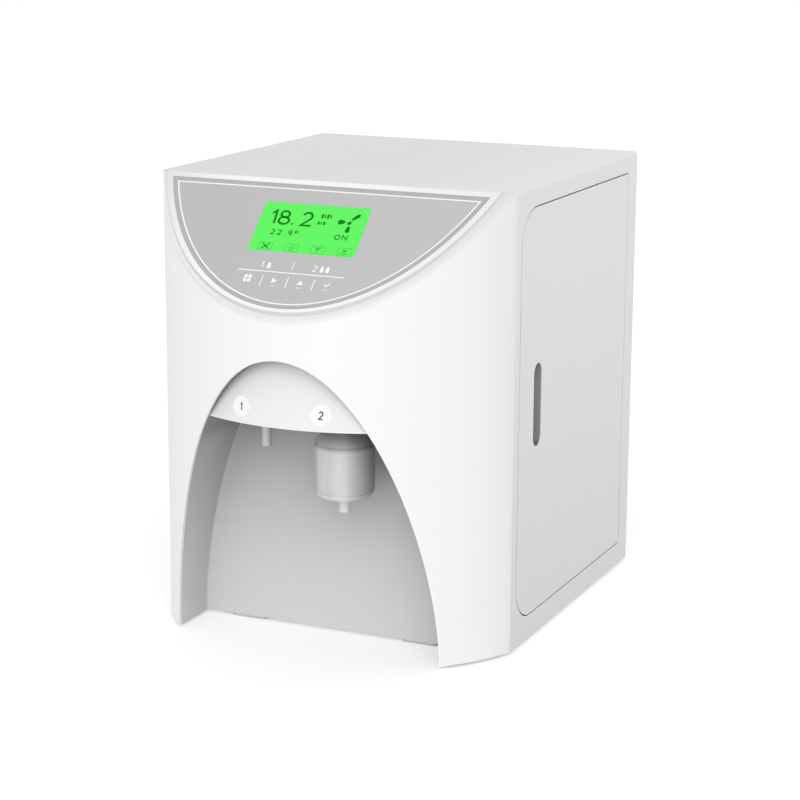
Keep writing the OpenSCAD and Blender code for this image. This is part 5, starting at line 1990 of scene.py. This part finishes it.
@dataclass
class RearPanel:
    """Screw recesses, the rocker's marks and the fuses at the back.

    Args:
        back_y: face of the back panel.
        screw_x: half spacing of the screws.
        screw_z: height of the middle pair.
        screw_rise: spacing of the pairs.
        head: how far a screw's head stands out.
        slot: length, width and thickness of a recess's arm.
        sunk: how far its middle lies under the head's face.
        inlet_x, inlet_z: middle of the power inlet.
        tip: how far the rocker is tipped at rest, in degrees.
        rocker: place of the rocker's axle from the inlet's middle, and behind the panel's face.
        face: how far the rocker's face stands off its axle, and how much more at its ends.
        half: half length of the rocker.
        bar: corners of the bar that stands for ON, right and up from the axle.
        ring: inner and outer radius of the ring that stands for OFF.
        ring_z: its height from the axle.
        film: thickness of the marks.
        fuse_x, fuse_z: middle of a fuse.
        fuse: radius and height of its outline, from end to end.
        troughs: each fuse's name, and its place from the back panel's face.
    """

    back_y: float = 244.0
    screw_x: float = 190.0
    screw_z: float = 242.0
    screw_rise: float = 215.0
    head: float = 2.56
    inlet_x: float = -138.0
    inlet_z: float = 63.0
    slot: Point3 = (3.0, 0.7, 0.6)
    sunk: float = 0.24
    tip: float = 8.0
    rocker: Point2 = (20.0, 3.0)
    face: Point2 = (2.8, 1.6)
    half: float = 9.0
    bar: tuple[Point2, ...] = ((-0.35, 3.2), (0.35, 3.2), (0.35, 7.0), (-0.35, 7.0))
    ring: Point2 = (1.5, 2.1)
    ring_z: float = -5.1
    film: float = 0.08
    fuse_x: float = -154.0
    fuse_z: float = 51.8
    fuse: tuple[Point2, ...] = (
        (0.0, -9.9), (2.2, -9.9), (2.45, -9.6), (2.45, -5.2), (2.1, -5.0),
        (2.1, 5.0), (2.45, 5.2), (2.45, 9.6), (2.2, 9.9), (0.0, 9.9),
    )
    troughs: tuple[tuple[str, float], ...] = (("fuse_in_use", -15.0), ("fuse_spare", -6.0))

    def build(self) -> None:
        """Makes every piece of the back."""
        self.recesses()
        self.rocker_marks()
        self.fuses()

    def recesses(self) -> None:
        """Cross recesses on a grid of screws, as a Geometry Nodes tree."""
        pattern = Pattern("screw_recesses", {
            "Width": 0.38, "Height": 0.43, "Arm": 0.0032, "Blade": 0.0007, "Deep": 0.0006,
            "Middle": (0.0, 0.0, 0.0),
        })
        grid = pattern.add("GeometryNodeMeshGrid", None, {
            "Size X": pattern.size("Width"), "Size Y": pattern.size("Height"),
            "Vertices X": 2, "Vertices Y": 3,
        })
        stood = pattern.add("GeometryNodeTransform", None, {
            "Geometry": grid, "Rotation": (math.pi / 2, 0.0, 0.0),
            "Translation": pattern.size("Middle"),
        })
        blades = []
        for first, second in (("Arm", "Blade"), ("Blade", "Arm")):
            size = pattern.add("ShaderNodeCombineXYZ", None, {
                "X": pattern.size(first), "Y": pattern.size("Deep"), "Z": pattern.size(second),
            })
            blades.append(pattern.add("GeometryNodeMeshCube", None, {"Size": size}))
        cross = pattern.add("GeometryNodeJoinGeometry", None, {"Geometry": blades})
        stamped = pattern.add("GeometryNodeInstanceOnPoints", None, {
            "Points": stood, "Instance": cross,
        })
        pattern.end(stamped, BLACK_INK)
        arm, blade, deep = self.slot
        mesh = pattern.run(
            Width=2 * self.screw_x * MM, Height=2 * self.screw_rise * MM, Arm=arm * MM,
            Blade=blade * MM, Deep=deep * MM,
            Middle=metres(0.0, self.back_y + self.head - self.sunk, self.screw_z),
        )
        adopt("screw_recesses", mesh, BLACK_INK, "cabinet", smooth=0.0)

    def rocker_marks(self) -> None:
        """ON and OFF marks, a bar and a ring, on the rocker's two faces."""
        a = math.radians(self.tip)

        def on_face(u: float, w: float, h: float) -> Point3:
            """A point on the rocker's face.

            Args:
                u: how far right of its middle.
                w: how far up from its axle.
                h: how far proud of it.

            Returns:
                The point in metres.
            """
            out = self.face[0] + self.face[1] * abs(w) / self.half + h
            y = out * math.cos(a) - w * math.sin(a)
            z = out * math.sin(a) + w * math.cos(a)
            x = self.inlet_x + self.rocker[0] + u
            return metres(x, self.back_y - self.rocker[1] + y, self.inlet_z + z)

        ink = Shape()
        ink.prism(self.bar, 0.0, self.film, on_face)
        turns = [k * math.pi / 12 for k in range(24)]
        inner, outer = (
            [(r * math.cos(t), r * math.sin(t) + self.ring_z) for t in turns] for r in self.ring
        )
        ink.band(inner, outer, 0.0, self.film, on_face)
        ink.piece("rocker_marks", WHITE_INK, "rocker", "label_white")

    def fuses(self) -> None:
        """A glass fuse in each of the drawer's two troughs."""
        for name, y in self.troughs:

            def across(u: float, v: float, h: float, y: float = y) -> Point3:
                """Lays a turned shape along X in its trough."""
                return metres(self.fuse_x + h, self.back_y + y + u, self.fuse_z + v)

            shape = Shape()
            shape.lathe(self.fuse, across, 28)
            shape.piece(name, FUSE, "fuse_tray", "bright_steel")


def dress(node: str, finish: Finish) -> None:
    """Gives a carried-over CAD node its finish.

    Args:
        node: the node's name.
        finish: its finish.
    """
    piece = frame["nodes"][node]
    for slot in piece.material_slots:
        slot.material = finish.material()
    if not piece.material_slots:
        piece.data.materials.append(finish.material())
    log.info("%s: dressed in %s", node, finish.name)


NODE_FINISHES: tuple[tuple[Finish, str], ...] = (
    (WHITE_MOULDING, "front_fascia"),
    (HOOD_MOULDING, "dispense_hood"),
    (GREY_ENAMEL, "cabinet_wrap back_panel"),
    (DOOR_ENAMEL, "side_door"),
    (BAY_LINING, "bay_liner"),
    (KEYPAD_FILM, "control_overlay"),
    (LIT_SCREEN, "display_screen"),
    (STEEL, "display_frame display_standoffs strike_plate panel_screws"),
    (DISPLAY_BOARD, "display_board"),
    (LABEL_FILM, "label_discs"),
    (DISPENSE_NOZZLE, "water_nozzle"),
    (NOZZLE_PLASTIC, "outlet_fitting board_standoffs water_ports"),
    (CAPSULE_MILK, "capsule_shell"),
    (PLEATED_CLOTH, "capsule_membrane"),
    (ZINC, "base_pan front_bulkhead filter_panel head_rail hinge_brackets board_bracket"),
    (DARK_PLASTIC, "magnetic_catch pressure_switch power_inlet fuse_drawer rocker_switch"),
    (POLISHED, "hinge_pins"),
    (FOOT_RUBBER, "rubber_feet"),
    (RUBBER, "pump_mounts seal_rings_1 seal_rings_2 seal_rings_3 seal_rings_4"),
    (TUBING, "link_nipples feed_tube product_tube nozzle_tube drain_tube"),
    (PUMP, "booster_pump circulation_pump"),
    (VALVE_PLASTIC, "inlet_valve flush_valve outlet_valve"),
    (SENSOR, "conductivity_cell"),
    (SUPPLY_CASE, "power_supply"),
    (LACQUERED_BOARD, "main_board"),
    (HEAD_PLASTIC, "filter_head_1 filter_head_2 filter_head_3 filter_head_4"),
)


# Studio ---------------------------------------------------------------------------------


@dataclass
class Studio:
    """Pale floor, soft light and the camera at the picture's angle.

    Args:
        azimuth, elevation, roll: where the camera stands, in degrees.
        distance: from the target, in metres.
        lens: focal length for a 36 mm sensor.
        target: what the picture's centre looks at, in metres.
        ambient: light from all round.
        key: strength of the key light.
        key_from: where it comes from.
        key_angle: how wide it looks, in degrees.
        floor: half width and thickness of the floor, in millimetres.
        floor_tones: the floor's two tones.
        glow: how much light the floor adds to what is seen of it.
    """

    azimuth: float = 24.329
    elevation: float = 13.311
    roll: float = 0.321
    distance: float = 2.397
    lens: float = 99.893
    target: Point3 = (0.0276, -0.0221, 0.2312)
    ambient: float = 0.72
    key: float = 1.15
    key_from: Point3 = (0.36, -0.78, 0.52)
    key_angle: float = 50.0
    floor: Point2 = (9000.0, 20.0)
    floor_tones: Point2 = (0.82, 0.80)
    glow: float = 0.34

    def build(self) -> None:
        """Makes the camera, the floor and the lights."""
        self.camera()
        self.ground()
        self.world()
        self.lamp()

    def camera(self) -> None:
        """The picture's camera."""
        a, e, t = (math.radians(v) for v in (self.azimuth, self.elevation, self.roll))
        back = Vector((math.sin(a) * math.cos(e), -math.cos(a) * math.cos(e), math.sin(e)))
        right = Vector((math.cos(a), math.sin(a), 0.0))
        up = back.cross(right)
        side = right * math.cos(t) + up * math.sin(t)
        top = up * math.cos(t) - right * math.sin(t)
        data = bpy.data.cameras.new("camera")
        data.sensor_width = 36.0
        data.lens = self.lens
        data.clip_end = 50.0
        camera = stand("camera", data)
        turn = Matrix((side, top, back)).transposed().to_4x4()
        camera.matrix_world = Matrix.Translation(Vector(self.target) + back * self.distance) @ turn
        bpy.context.scene.camera = camera

    @staticmethod
    def _seen(shader: Shader) -> Sock:
        """1 for rays from the camera, off a gloss or through glass.

        Args:
            shader: the tree to build in.

        Returns:
            The mask.
        """
        path = "ShaderNodeLightPath"
        camera = shader.add(path, output="Is Camera Ray")
        gloss = shader.add(path, output="Is Glossy Ray")
        clear = shader.add(path, output="Is Transmission Ray")
        return camera.most(gloss).most(clear)

    def ground(self) -> None:
        """A pale floor that shows white where no shadow falls."""
        size, thick = self.floor
        shape = Shape()
        corners = [(-size, -size), (size, -size), (size, size), (-size, size)]
        shape.prism(corners, -thick, 0.0, metres)
        mesh = shape.finished("floor")
        shader = Shader(bpy.data.materials.new("pale_floor"))
        first, second = ((tone,) * 3 for tone in self.floor_tones)
        tint = shader.blend(shader.noise(3.0), first, second)
        plain = shader.add("ShaderNodeBsdfDiffuse", None, {"Color": tint})
        glow = shader.add("ShaderNodeEmission", None, {"Strength": self.glow})
        both = shader.add("ShaderNodeAddShader", None, {0: plain, 1: glow})
        mixed = shader.add("ShaderNodeMixShader", None, {0: self._seen(shader), 1: plain, 2: both})
        mesh.materials.append(shader.close(mixed))
        floor = stand("floor", mesh)

    def world(self) -> None:
        """White to the camera, softer as light on the object."""
        shader = Shader(bpy.data.worlds.new("studio"))
        strength = self._seen(shader) * (1.0 - self.ambient) + self.ambient
        white = {"Color": (1.0, 1.0, 1.0, 1.0), "Strength": strength}
        bpy.context.scene.world = shader.close(shader.add("ShaderNodeBackground", None, white))

    def lamp(self) -> None:
        """One broad soft light from the front, to the right and above."""
        data = bpy.data.lights.new("key", "SUN")
        data.energy = self.key
        data.angle = math.radians(self.key_angle)
        lamp = stand("key", data)
        lamp.rotation_mode = "QUATERNION"
        lamp.rotation_quaternion = Vector(self.key_from).to_track_quat("Z", "Y")


def main() -> None:
    """Dresses the CAD nodes, makes the pieces that they lack and sets up the studio."""
    logging.basicConfig(level=logging.INFO, format="%(name)s: %(message)s")
    bpy.context.scene.view_settings.view_transform = "Standard"
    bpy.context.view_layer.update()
    Studio().build()
    for finish, nodes in NODE_FINISHES:
        for node in nodes.split():
            dress(node, finish)
    for assembly in (ControlPanel(), DispenseHood(), CapsuleFilter(), FilterBank(), RearPanel()):
        assembly.build()


if __name__ == "__main__":
    main()
